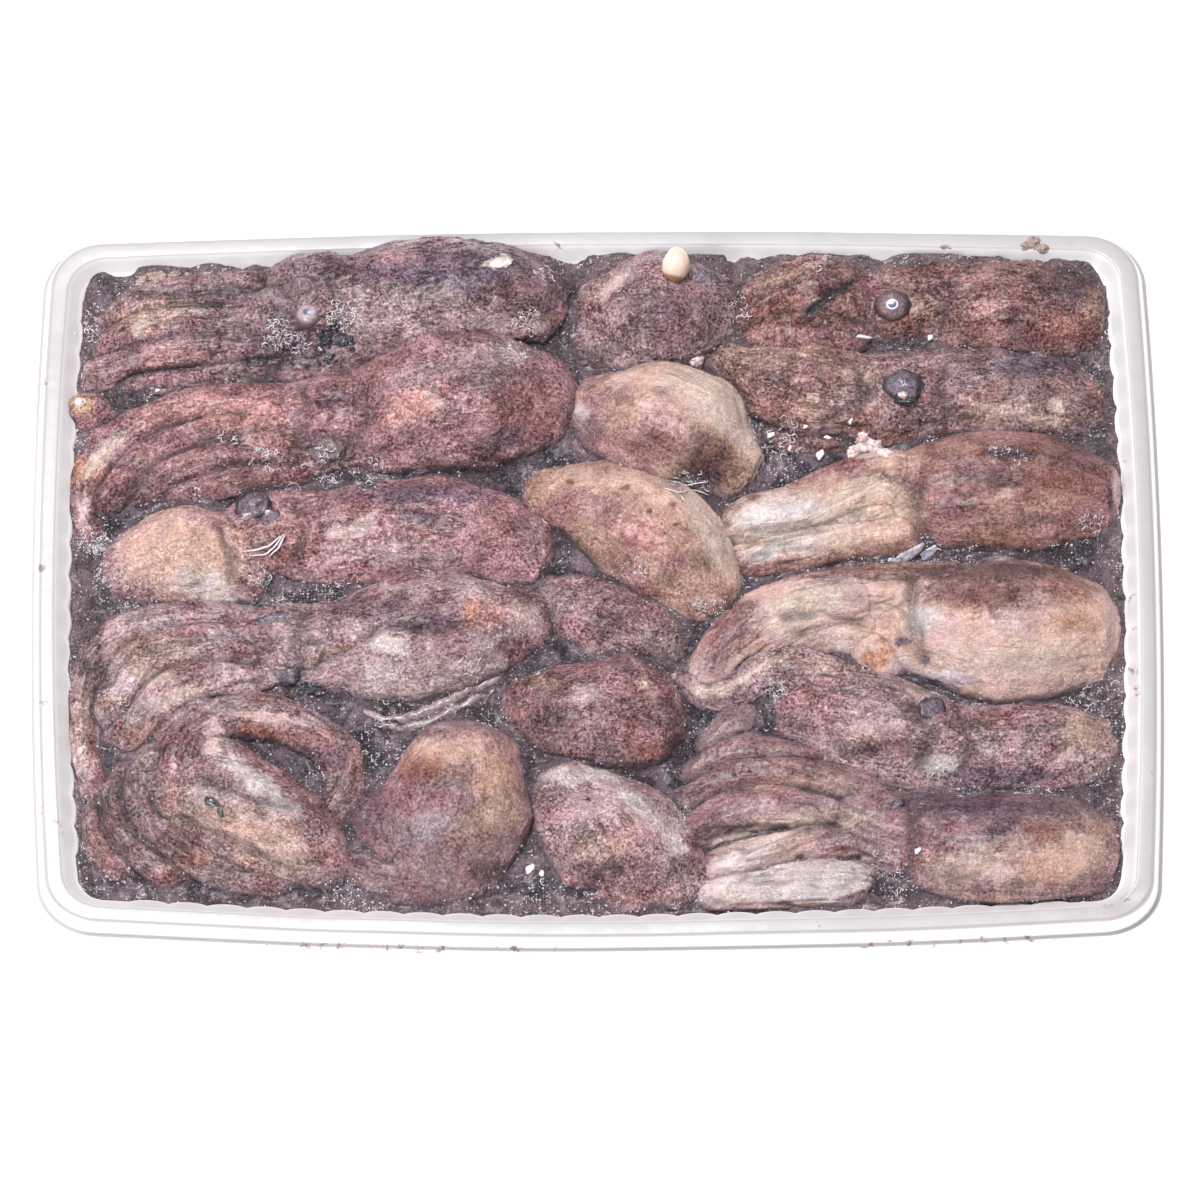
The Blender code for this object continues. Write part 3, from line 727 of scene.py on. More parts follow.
# %% Dirt on the tray
# x, y, z, radius: smears on the lip in front, specks on the flange, crumbs along the right wall
DIRT = ([(x, -106.5, RIM - 5.5, 2.6) for x in range(-112, -8, 5)]
        + [(x, -106.5, RIM - 5.5, 2.6) for x in range(70, 128, 6)]
        + [(57, -103.5, RIM - 0.5, 2.4), (128, -102.5, RIM - 4.5, 3.0), (133, -99, RIM - 1.5, 3.0),
           (138, -95.5, RIM, 2.4), (-138, -84, RIM - 2, 3.0), (-142, -73, RIM, 3.0), (-147, -66, RIM, 3.4),
           (-147, -28, RIM, 3.6), (-147, -34, RIM, 3.0), (-147, 4, RIM, 2.6), (-146, 62, RIM, 2.4),
           (94, 101.5, RIM - 1, 2.4), (-10, 101.5, RIM - 1, 2.0), (142, -6, RIM - 2, 2.2),
           (142, -14, RIM - 2, 2.2), (142.5, -27, RIM - 2, 2.6), (142.5, -34, RIM - 2, 2.6),
           (146, -60, RIM, 1.8), (145, -84, RIM, 2.2), (139.5, 44, RIM - 2, 2.6), (139.5, 36, RIM - 2, 3.0),
           (140, 28, RIM - 2, 2.4)])
dirt = np.zeros(len(tray_points))
for x, y, z, radius in DIRT:
    away = np.linalg.norm(tray_points - np.array([x, y, z]), axis=1) / radius
    dirt = np.maximum(dirt, np.clip(1.6 - away, 0.0, 1.0))
set_value(tray.data, "dirt", dirt)
# painted light: "flat" chooses the darker plastic colour for faces that look up, and for the outer faces low
# on the wall, so that these read as shaded
tray_normals = get_normals(tray.data)
outer = (np.sum(tray_normals[:, :2] * tray_points[:, :2], axis=1) > 0) & (tray_points[:, 2] < RIM - 7.0)
set_value(tray.data, "flat", np.maximum(ramp(tray_normals[:, 2], 0.45, 0.95), 0.8 * outer))
tray.data.shade_smooth()
finish_piece(tray, PLASTIC_LOOK, "tray")

# %% [markdown]
# ## The animals' limbs
#
# Each octopus is planned as a few limbs: a mantle (the bag of the body), a
# head, and arms. A limb is a route of points, each with the height of its crest
# above the rim and its radius. The frame's solids were built from the same
# routes, so skins made from them fill the same places.

# %% Limb routes
# x, y, crest above the rim, radius, all in mm; rows run from the back of the tray to the front
FLATNESS = 0.86
CREST_LIFT = 0.9        # makes up for what smoothing takes off the crests
ARM_FULLNESS = 2.7      # added to each radius: smoothing takes some off, and neighbours press close
BODY_FULLNESS = 4.0
VOXEL = 1.25
THIN_LIMBS = ("arm", "loop", "inner", "lobe", "blob", "brow", "lump", "flank", "hip")
LIMBS = {
    "octopus_01": {
        "mantle": [(-68, 84.5, 6, 12.5), (-52, 86, 8.8, 15.5), (-35, 87, 9.2, 16), (-23, 87, 7.5, 13.5)],
        "head": [(-92, 81.5, 3, 10), (-80, 83.5, 5, 11), (-68, 85.5, 7.5, 12)],
        "arm_1": [(-90, 87.5, 2.5, 7), (-108, 87, 1, 6), (-122, 85, -0.5, 5), (-130, 81, -3.5, 4)],
        "arm_2": [(-90, 79.5, 1.5, 7), (-108, 80, 1, 6.5), (-122, 78, 0, 5.5), (-129, 75, -2.5, 4)],
        "arm_3": [(-88, 73.5, 0, 6), (-108, 72, 0, 5.5), (-124, 69, -1, 4.5), (-134, 65, -3, 3.2)],
        "arm_4": [(-86, 68.5, -2, 4.5), (-104, 67, -2.5, 4), (-122, 64, -3, 3.2)],
        "flank": [(-82, 67.5, -1.5, 4.5), (-66, 72, 0.5, 7), (-48, 76, 3, 8.5), (-32, 77.5, 2, 7.5)],
        "brow": [(-84, 89.5, 5, 5), (-78, 91, 7, 5.5), (-71, 91.5, 8, 5)]},
    "octopus_02": {
        "mantle": [(8, 83.5, 3.5, 12), (16, 83.5, 8.5, 15.5), (24.5, 84, 5, 13.5)],
        "neck": [(4, 75.5, 0, 9), (14, 73.5, 1, 9), (24, 74.5, -1, 7)]},
    "octopus_03": {
        "lobe": [(45, 82.5, 0, 8), (54, 87.5, 2, 9), (64, 88, 3, 9), (68, 83.5, 0, 7)],
        "lobe_2": [(46, 77.5, -0.5, 7), (56, 76.5, 0.5, 7.5), (66, 76.5, -0.5, 6)],
        "neck": [(74, 91.5, -1.5, 5), (86, 90.5, 0, 6.5), (98, 87.5, 2, 9.5)],
        "socket": [(78, 83.5, 0, 6.5), (86, 83.5, 0, 6.5), (94, 83.5, -0.5, 7)],
        "mantle": [(100, 84, 3, 12.5), (114, 84, 4, 13), (126, 81.5, 2, 11)]},
    "octopus_04": {
        "mantle": [(-58, 50.5, 4.5, 14.5), (-44, 55, 9.2, 18.5), (-29, 57.5, 10.2, 19.5), (-21, 57.5, 6, 15)],
        "head": [(-84, 47.5, 2.5, 11.5), (-72, 49.5, 3, 12.5), (-58, 51.5, 3.5, 13)],
        "arm_1": [(-82, 53.5, 0, 7), (-100, 54.5, 0, 6), (-117, 51, -0.5, 5.5), (-129, 43.5, -1.5, 5),
                  (-135.5, 33.5, -2.5, 4.2), (-137, 24.5, -3.5, 3.6), (-135, 18.5, -4.5, 3)],
        "arm_2": [(-82, 47.5, 0, 7), (-100, 47.5, 0, 6.5), (-116, 43, -1, 5.5), (-130, 29, -3, 3.8)],
        "arm_3": [(-82, 41.5, -0.5, 6), (-100, 40.5, -0.5, 6), (-114, 35.5, -2, 5), (-122, 30.5, -4, 3.5)],
        "arm_4": [(-80, 37.5, -2, 4.5), (-96, 35, -2, 4.5), (-110, 30.5, -3.5, 3.5)],
        "hip": [(-36, 49, 4, 10), (-22, 49.5, 3, 9.5)],
        "lump": [(-139, 54, -1.5, 3.5), (-134, 55, -2, 3.2)]},
    "octopus_05": {
        "arms": [(37, 67.5, -2, 7), (47, 61.5, 2.5, 11.5), (58, 57.5, 5, 14), (70, 55.5, 4, 13)],
        "arms_2": [(50, 48.5, -2.5, 5), (60, 46.5, -1.5, 6), (70, 47.5, -2, 6)],
        "head": [(70, 55.5, 3, 12), (82, 56.5, 3, 12), (92, 57.5, 2, 11)],
        "mantle": [(92, 57.5, 2.5, 11.5), (106, 57.5, 3, 12), (120, 56.5, 2, 11.5), (127, 55.5, 0, 9.5)]},
    "octopus_06": {
        "mantle": [(5, 53, 2, 11.5), (14, 49.5, 8, 16), (25, 44.5, 8.5, 17), (31, 40, 3, 12.5)]},
    "octopus_07": {
        "mantle": [(-72, 18.5, 1, 10.5), (-56, 17.5, 3.5, 12.5), (-40, 16.5, 5, 14), (-25, 13.5, 2.5, 12.5)],
        "head": [(-98, 12.5, 0, 9.5), (-88, 16.5, 1, 10), (-72, 18.5, 1, 10.5)],
        "hip": [(-80, 9.5, -2, 5), (-62, 8.5, -0.5, 6), (-44, 7.5, -0.5, 6.5), (-28, 6.5, -1.5, 6)],
        "crown": [(-119, 7.5, 1.5, 11.5), (-109, 9.5, 5, 14), (-98, 7.5, 2, 11)]},
    "octopus_08": {
        "mantle": [(-11, 27, 0, 7.5), (1, 24, 4, 11.5), (13, 16.5, 7, 14.5), (22, 8, 6, 14),
                   (27, 2, 2, 10.5)]},
    "octopus_09": {
        "arm_1": [(41, 18, 0.5, 7.5), (54, 20.5, 1.5, 8), (67, 26, 2.5, 9.5), (80, 28.5, 3, 10.5)],
        "arm_2": [(41, 9, -1.5, 5), (53, 11.5, 0, 6), (67, 15, 0, 7), (82, 17.5, 0, 7)],
        "arm_3": [(47, 13.5, -2, 5.5), (60, 16, -0.5, 6.5), (76, 22, 1, 8)],
        "mantle": [(88, 26.5, 3.5, 13.5), (102, 27.5, 6.5, 16), (118, 27, 6, 16), (127, 26.5, 3, 13)]},
    "octopus_10": {
        "mantle": [(-64, -17.5, 3.5, 13.5), (-50, -15.5, 7, 17), (-36, -13, 6, 15.5), (-22, -10, 0, 9.5)],
        "head": [(-94, -16.5, 0, 9), (-80, -16.5, 1.5, 10.5), (-64, -16.5, 2.5, 12)],
        "arm_1": [(-92, -11.5, -1.5, 5.5), (-110, -9.5, -1.5, 5), (-125, -13.5, -1.5, 5),
                  (-134, -24.5, -2, 4.5), (-137, -38.5, -2.5, 4), (-136, -52.5, -3, 3.6),
                  (-131, -64, -4.5, 3)],
        "arm_2": [(-92, -18.5, 0.5, 8), (-108, -18.5, 0.5, 7.5), (-121, -22.5, 0, 7),
                  (-127, -31.5, -0.5, 5.5)],
        "arm_3": [(-90, -25.5, -1, 6), (-104, -27.5, 0, 7), (-116, -33.5, 0, 7), (-123, -42.5, -1.5, 5)],
        "arm_4": [(-105, -34.5, -2, 4.5), (-114, -40.5, -2.5, 4), (-120, -46, -4.5, 3)]},
    "octopus_11": {
        "mantle": [(-8, -3.5, -2.5, 8.5), (4, -8.5, 0, 11), (14, -13.5, -2, 8.5), (20, -18.5, -5.5, 4)]},
    "octopus_12": {
        "mantle": [(94, -13.5, 5.5, 16), (107, -15, 10, 20.5), (121, -15, 7, 17.5)],
        "head": [(66, -5.5, 0.5, 9), (78, -5.5, 1.5, 10), (94, -6.5, 2.5, 12)],
        "arm_1": [(68, -6.5, 2, 9), (56, -7.5, 1.5, 9.5), (44, -11, 0.5, 8), (34, -19, -1, 5.5),
                  (29, -25.5, -3.5, 4)],
        "arm_2": [(70, -13, 0, 7), (60, -14.5, -1.5, 5), (50, -18, -3.5, 4)],
        "blob": [(74, -19.5, -0.5, 5.5), (76, -23, -1.5, 4.5)]},
    "octopus_13": {
        "mantle": [(-16, -34.5, -1, 8.5), (-5, -37.5, 4, 12.5), (7, -38.5, 6, 14.5)]},
    "octopus_14": {
        "arm_1": [(23, -27.5, -3.5, 2.6), (29, -32.5, -3.5, 3), (36, -31.5, -2.5, 3.4), (43, -26, -2, 3.8),
                  (51, -24.5, -1, 5), (62, -28.5, -0.5, 6)],
        "head": [(60, -37.5, 1.5, 12), (74, -41.5, 3, 12.5), (88, -45.5, 1.5, 11)],
        "flank": [(58, -50, -3.5, 4), (74, -55, -3, 4.5), (92, -57.5, -3, 4.5)],
        "mantle": [(90, -47, 0.5, 10.5), (104, -48.5, 1.5, 11), (118, -49, 2, 11), (127, -48.5, 0, 9.5)]},
    "octopus_15": {
        "crown": [(-108, -60.5, 1, 10), (-97, -67.5, 5, 13.5), (-86, -73.5, 5, 13.5), (-74, -80, 0, 9)],
        "loop": [(-112, -62.5, -0.5, 5.5), (-110, -49.5, 0, 5.5), (-103, -41.5, 0, 4.6),
                 (-92, -38.5, 0, 4.2), (-80, -41.5, 0, 4), (-70, -48.5, -0.5, 3.6),
                 (-66.5, -58.5, -2, 3.4), (-70, -66.5, -3, 3)],
        "inner": [(-101, -50.5, 0, 4), (-93, -56.5, 0.5, 4), (-84, -62.5, 0.5, 3.8), (-77, -68.5, -0.5, 3)],
        "arm_1": [(-113, -48.5, -2.5, 4), (-121, -56.5, -2, 4), (-121, -67.5, -2, 4), (-113, -78, -1.5, 4.5),
                  (-100, -84.5, -2, 4.5), (-86, -88, -3, 4)],
        "arm_2": [(-124, -54.5, -4, 2.8), (-128, -66.5, -3, 3.4), (-124, -77, -2.5, 3.6),
                  (-113, -86, -3.5, 3.2)],
        "arm_3": [(-132, -66, -4.5, 2.6), (-133, -75, -3.5, 3), (-127, -84, -4, 3)]},
    "octopus_16": {
        "mantle": [(-36, -57, 6.5, 15.5), (-37.5, -66.5, 10, 19.5), (-39, -77, 5, 15.5)],
        "lobe": [(-62, -64, -3.5, 4), (-58, -71, -2, 5), (-54, -78, -2, 5.5)],
        "lobe_2": [(-66, -82, -3.5, 4.5), (-55, -86, -3, 5.5), (-44, -88, -3, 5.5)]},
    "octopus_17": {
        "mantle": [(-6, -65, 3, 11.5), (0, -71.5, 6, 15.5), (6, -78.5, 7, 17.5), (8, -82.5, 2, 13)],
        "hip": [(13, -79, 3, 12), (19, -85.5, 0, 9.5)]},
    "octopus_18": {
        "mantle": [(92, -78.5, 3, 13), (106, -80, 5, 15.5), (120, -80, 4, 15.5), (126, -80, 1.5, 14)],
        "head": [(68, -68.5, 0, 9), (80, -73.5, 1, 11), (92, -77, 2, 12)],
        "arm_1": [(70, -64.5, 0, 7), (54, -58.5, 0, 6.5), (38, -57, -1.5, 5.5), (24, -62.5, -3.5, 4)],
        "arm_2": [(70, -69.5, -0.5, 6), (52, -66.5, 0, 6.5), (36, -67.5, -0.5, 6), (26, -72.5, -2.5, 4.5)],
        "arm_3": [(70, -74.5, -1.5, 5), (56, -76.5, -1.5, 5), (40, -82, -1.5, 4.4), (30, -84.5, -3, 3.6)],
        "arm_4": [(66, -88.5, -1.5, 5), (54, -88.5, -0.5, 5.6), (40, -90, -1.5, 4.6), (30, -91, -3, 3.6)],
        "arm_5": [(60, -55.5, -2.5, 4), (46, -51.5, -1.5, 4.4), (34, -50.5, -2.5, 4), (26, -56, -4, 3)],
        "lobe": [(30, -46.5, -4, 2.6), (35, -41.5, -3.5, 2.6), (39, -37.5, -4.5, 2)]},
}
print(sum(len(limbs) for limbs in LIMBS.values()), "limbs")

# %% [markdown]
# ## From routes to one skin
#
# A limb starts as a Bezier curve with a round bevel, the quickest way to a tube
# of changing thickness. The tubes of one animal are joined and remeshed with
# voxels, which fuses them into a single closed skin; smoothing melts the seams
# between them and a subdivision gives vertices fine enough for wrinkles.


# %% Tubes along the routes
def rounded_ends(limb, route):
    """Knots of a route with two more past each end, so that the tube closes round."""
    fullness = ARM_FULLNESS if limb.startswith(THIN_LIMBS) else BODY_FULLNESS
    knots = []
    for x, y, crest, radius in route:
        full = radius + fullness
        knots.append((np.array([x, y, RIM + crest + CREST_LIFT - FLATNESS * full]), full))

    def cap(end, inner):
        away = (end[0] - inner[0]) / np.linalg.norm(end[0] - inner[0])
        return [(end[0] + away * end[1] * 0.6, end[1] * 0.78), (end[0] + away * end[1] * 0.92, end[1] * 0.32)]

    return cap(knots[0], knots[1])[::-1] + knots + cap(knots[-1], knots[-2])


def add_limb(name, limb, route):
    """A round tube along a route, turned into a mesh."""
    knots = rounded_ends(limb, route)
    bpy.ops.object.select_all(action="DESELECT")
    bpy.ops.curve.primitive_bezier_curve_add()
    tube = bpy.context.object
    tube.name = name
    curve = tube.data
    curve.bevel_depth = MM
    curve.bevel_resolution = 4
    curve.resolution_u = 8
    curve.use_fill_caps = True
    points = curve.splines[0].bezier_points
    points.add(len(knots) - 2)
    for point, (place, radius) in zip(points, knots):
        point.co = Vector((place[0], place[1], place[2] / FLATNESS)) * MM
        point.radius = radius
        point.handle_left_type = point.handle_right_type = "AUTO"
    middle = centre_line(points)
    bpy.ops.object.convert(target="MESH")
    return tube, middle


def centre_line(points):
    """Samples of a tube's centre: place and radius in mm, and the way along it."""
    samples = []
    for first, second in zip(points, points[1:]):
        steps = 7
        places = interpolate_bezier(first.co, first.handle_right, second.handle_left, second.co, steps)
        for step in range(steps - 1):
            share = step / (steps - 1)
            ahead = (places[step + 1] - places[step]).normalized()
            radius = first.radius * (1 - share) + second.radius * share
            place = places[step] / MM
            samples.append((place.x, place.y, place.z * FLATNESS, radius, ahead.x, ahead.y, ahead.z))
    return np.array(samples)


def make_skin(name):
    """One closed skin over all the limbs of an animal, and the centre line of each limb."""
    tubes, middles = [], []
    for limb, route in LIMBS[name].items():
        tube, middle = add_limb(f"{name}_{limb}", limb, route)
        tubes.append(tube)
        middles.append(middle)
    skin = join(tubes, name + "_skin")
    points = get_points(skin.data)
    points[:, 2] *= FLATNESS
    set_points(skin.data, points)
    apply_modifier(skin, "REMESH", mode="VOXEL", voxel_size=VOXEL * MM)
    apply_modifier(skin, "SMOOTH", factor=0.5, iterations=5)
    apply_modifier(skin, "SUBSURF", levels=1, render_levels=1)
    return skin, middles


SKINS = {name: make_skin(name) for name in ANIMALS}
print(sum(len(skin.data.polygons) for skin, middles in SKINS.values()) * 2, "triangles of skin")

# %% [markdown]
# ## Fitting the skins into the tray
#
# The animals were frozen in the tray, so they bulge against its walls and hang
# over its rim only where they stand higher. Vertices that would cross the wall
# are moved straight inwards, to just inside the outline at their height.

# %% Keep inside the tray
# inset of the wall from the rim's outer edge at each height
WALL_HEIGHTS = np.array([1.0, 3.5, RIM - 3.2, RIM - 0.8, RIM, RIM + 0.5, RIM + 1.2, RIM + 30])
WALL_INSETS = np.array([21.2, 17.8, 11.0, 7.6, 6.6, 3.2, -2.0, -2.0])
CLEARANCE = 0.2
LEAST_HEIGHT = 1.5      # just over the tray's floor


def keep_inside(points):
    """Move points inwards to within the tray's cavity, by their height; also off the floor."""
    points[:, 2] = np.maximum(points[:, 2], LEAST_HEIGHT)
    inset = np.interp(points[:, 2], WALL_HEIGHTS, WALL_INSETS) + CLEARANCE
    radius = np.maximum(CORNER_RADIUS - CORNER_TIGHTENING * inset, LEAST_CORNER_RADIUS)
    bow = BOW + BOW_GROWTH * inset
    u = np.clip(points[:, 0] / (HALF_LENGTH - 25), -1, 1)
    v = np.clip(points[:, 1] / (HALF_WIDTH - 25), -1, 1)
    half_x = HALF_LENGTH - inset - bow * v * v
    half_y = HALF_WIDTH - inset - bow * u * u
    inner_x, inner_y = half_x - radius, half_y - radius
    over_x = np.maximum(np.abs(points[:, 0]) - inner_x, 0)
    over_y = np.maximum(np.abs(points[:, 1]) - inner_y, 0)
    over = np.hypot(over_x, over_y)
    share = np.where(over > radius, radius / np.maximum(over, 1e-9), 1.0)
    points[:, 0] = np.sign(points[:, 0]) * (np.minimum(np.abs(points[:, 0]), inner_x) + over_x * share)
    points[:, 1] = np.sign(points[:, 1]) * (np.minimum(np.abs(points[:, 1]), inner_y) + over_y * share)
    return points


# %% [markdown]
# ## Where a detail lies
#
# Marks on the skins and small things on top are placed on a slanted plan: the
# tray seen from the front at 62 degrees, with depth measured 2 mm below its
# rim. One function turns a place in the tray into that plan, and another drops
# a plan point along the line of sight onto what lies there.

# %% Slanted plan
PLAN_HEIGHT = RIM - 2.0
PLAN_LEAN = 1 / math.tan(VIEW_ELEVATION)
PLAN_SHIFT = 0.75


def plan_of(points):
    """Plan places (across, away from the front) of points in mm."""
    lean = PLAN_SHIFT + PLAN_LEAN * (points[:, 2] - PLAN_HEIGHT)
    return np.c_[points[:, 0], points[:, 1] + lean]


def distance_to_path(plan, path):
    """Distance of plan places from a line of several points."""
    nearest = np.full(len(plan), 1e9)
    for start, end in zip(np.array(path[:-1], float), np.array(path[1:], float)):
        along = end - start
        share = np.clip((plan - start) @ along / (along @ along), 0, 1)
        nearest = np.minimum(nearest, np.linalg.norm(plan - start - share[:, None] * along, axis=1))
    return nearest


# %% [markdown]
# ## Which way the muscle runs
#
# Wrinkles and streaks run along an arm, so each vertex needs to know where it
# is along its limb and round it. We compare it with the centre lines: the limb
# whose tube it is nearest to gives the length along and the offset across.


# %% Flow along the limbs
def limb_places(points, middle):
    """For each point: depth outside the limb, length along, and the offset sideways and up."""
    centres, radii, ways = middle[:, :3], middle[:, 3], middle[:, 4:]
    lengths = np.r_[0, np.cumsum(np.linalg.norm(np.diff(centres, axis=0), axis=1))]
    sides = np.cross(ways, (0.0, 0.0, 1.0))
    sides /= np.maximum(np.linalg.norm(sides, axis=1), 1e-6)[:, None]
    offsets = points[:, None, :] - centres[None]
    away = np.linalg.norm(offsets, axis=2) - radii[None]
    depth = away.min(axis=1)
    share = np.exp((depth[:, None] - away) / 0.9)
    share /= share.sum(axis=1, keepdims=True)
    along = np.sum(share * (lengths + np.sum(offsets * ways, axis=2)), axis=1)
    across = np.sum(share * np.sum(offsets * sides, axis=2), axis=1)
    return depth, along, across, points[:, 2]


def flow_of(points, limbs, middles):
    """Streak coordinates and blending weights for every limb, and the seams between thin limbs."""
    places = [limb_places(points, middle) for middle in middles]
    depths = np.array([place[0] for place in places])
    weights = np.exp(-(depths - depths.min(axis=0)) / 0.8)
    weights /= weights.sum(axis=0)
    thin = np.array([[limb.startswith(THIN_LIMBS)] for limb in limbs])
    rank = np.sort(np.where(thin, depths, 99.0), axis=0)
    seams = np.zeros(len(points))
    if len(middles) > 1:
        body = np.where(thin, 99.0, depths).min(axis=0)
        seams = np.exp(-((rank[1] - rank[0]) / 0.7) ** 2) * (body > rank[0] - 0.5)
    flows = [np.c_[place[1] / 16.0, place[2] / 2.3 + 31.0 * number, place[3] / 2.3]
             for number, place in enumerate(places)]
    return flows, weights, seams


print("flow helpers ready")
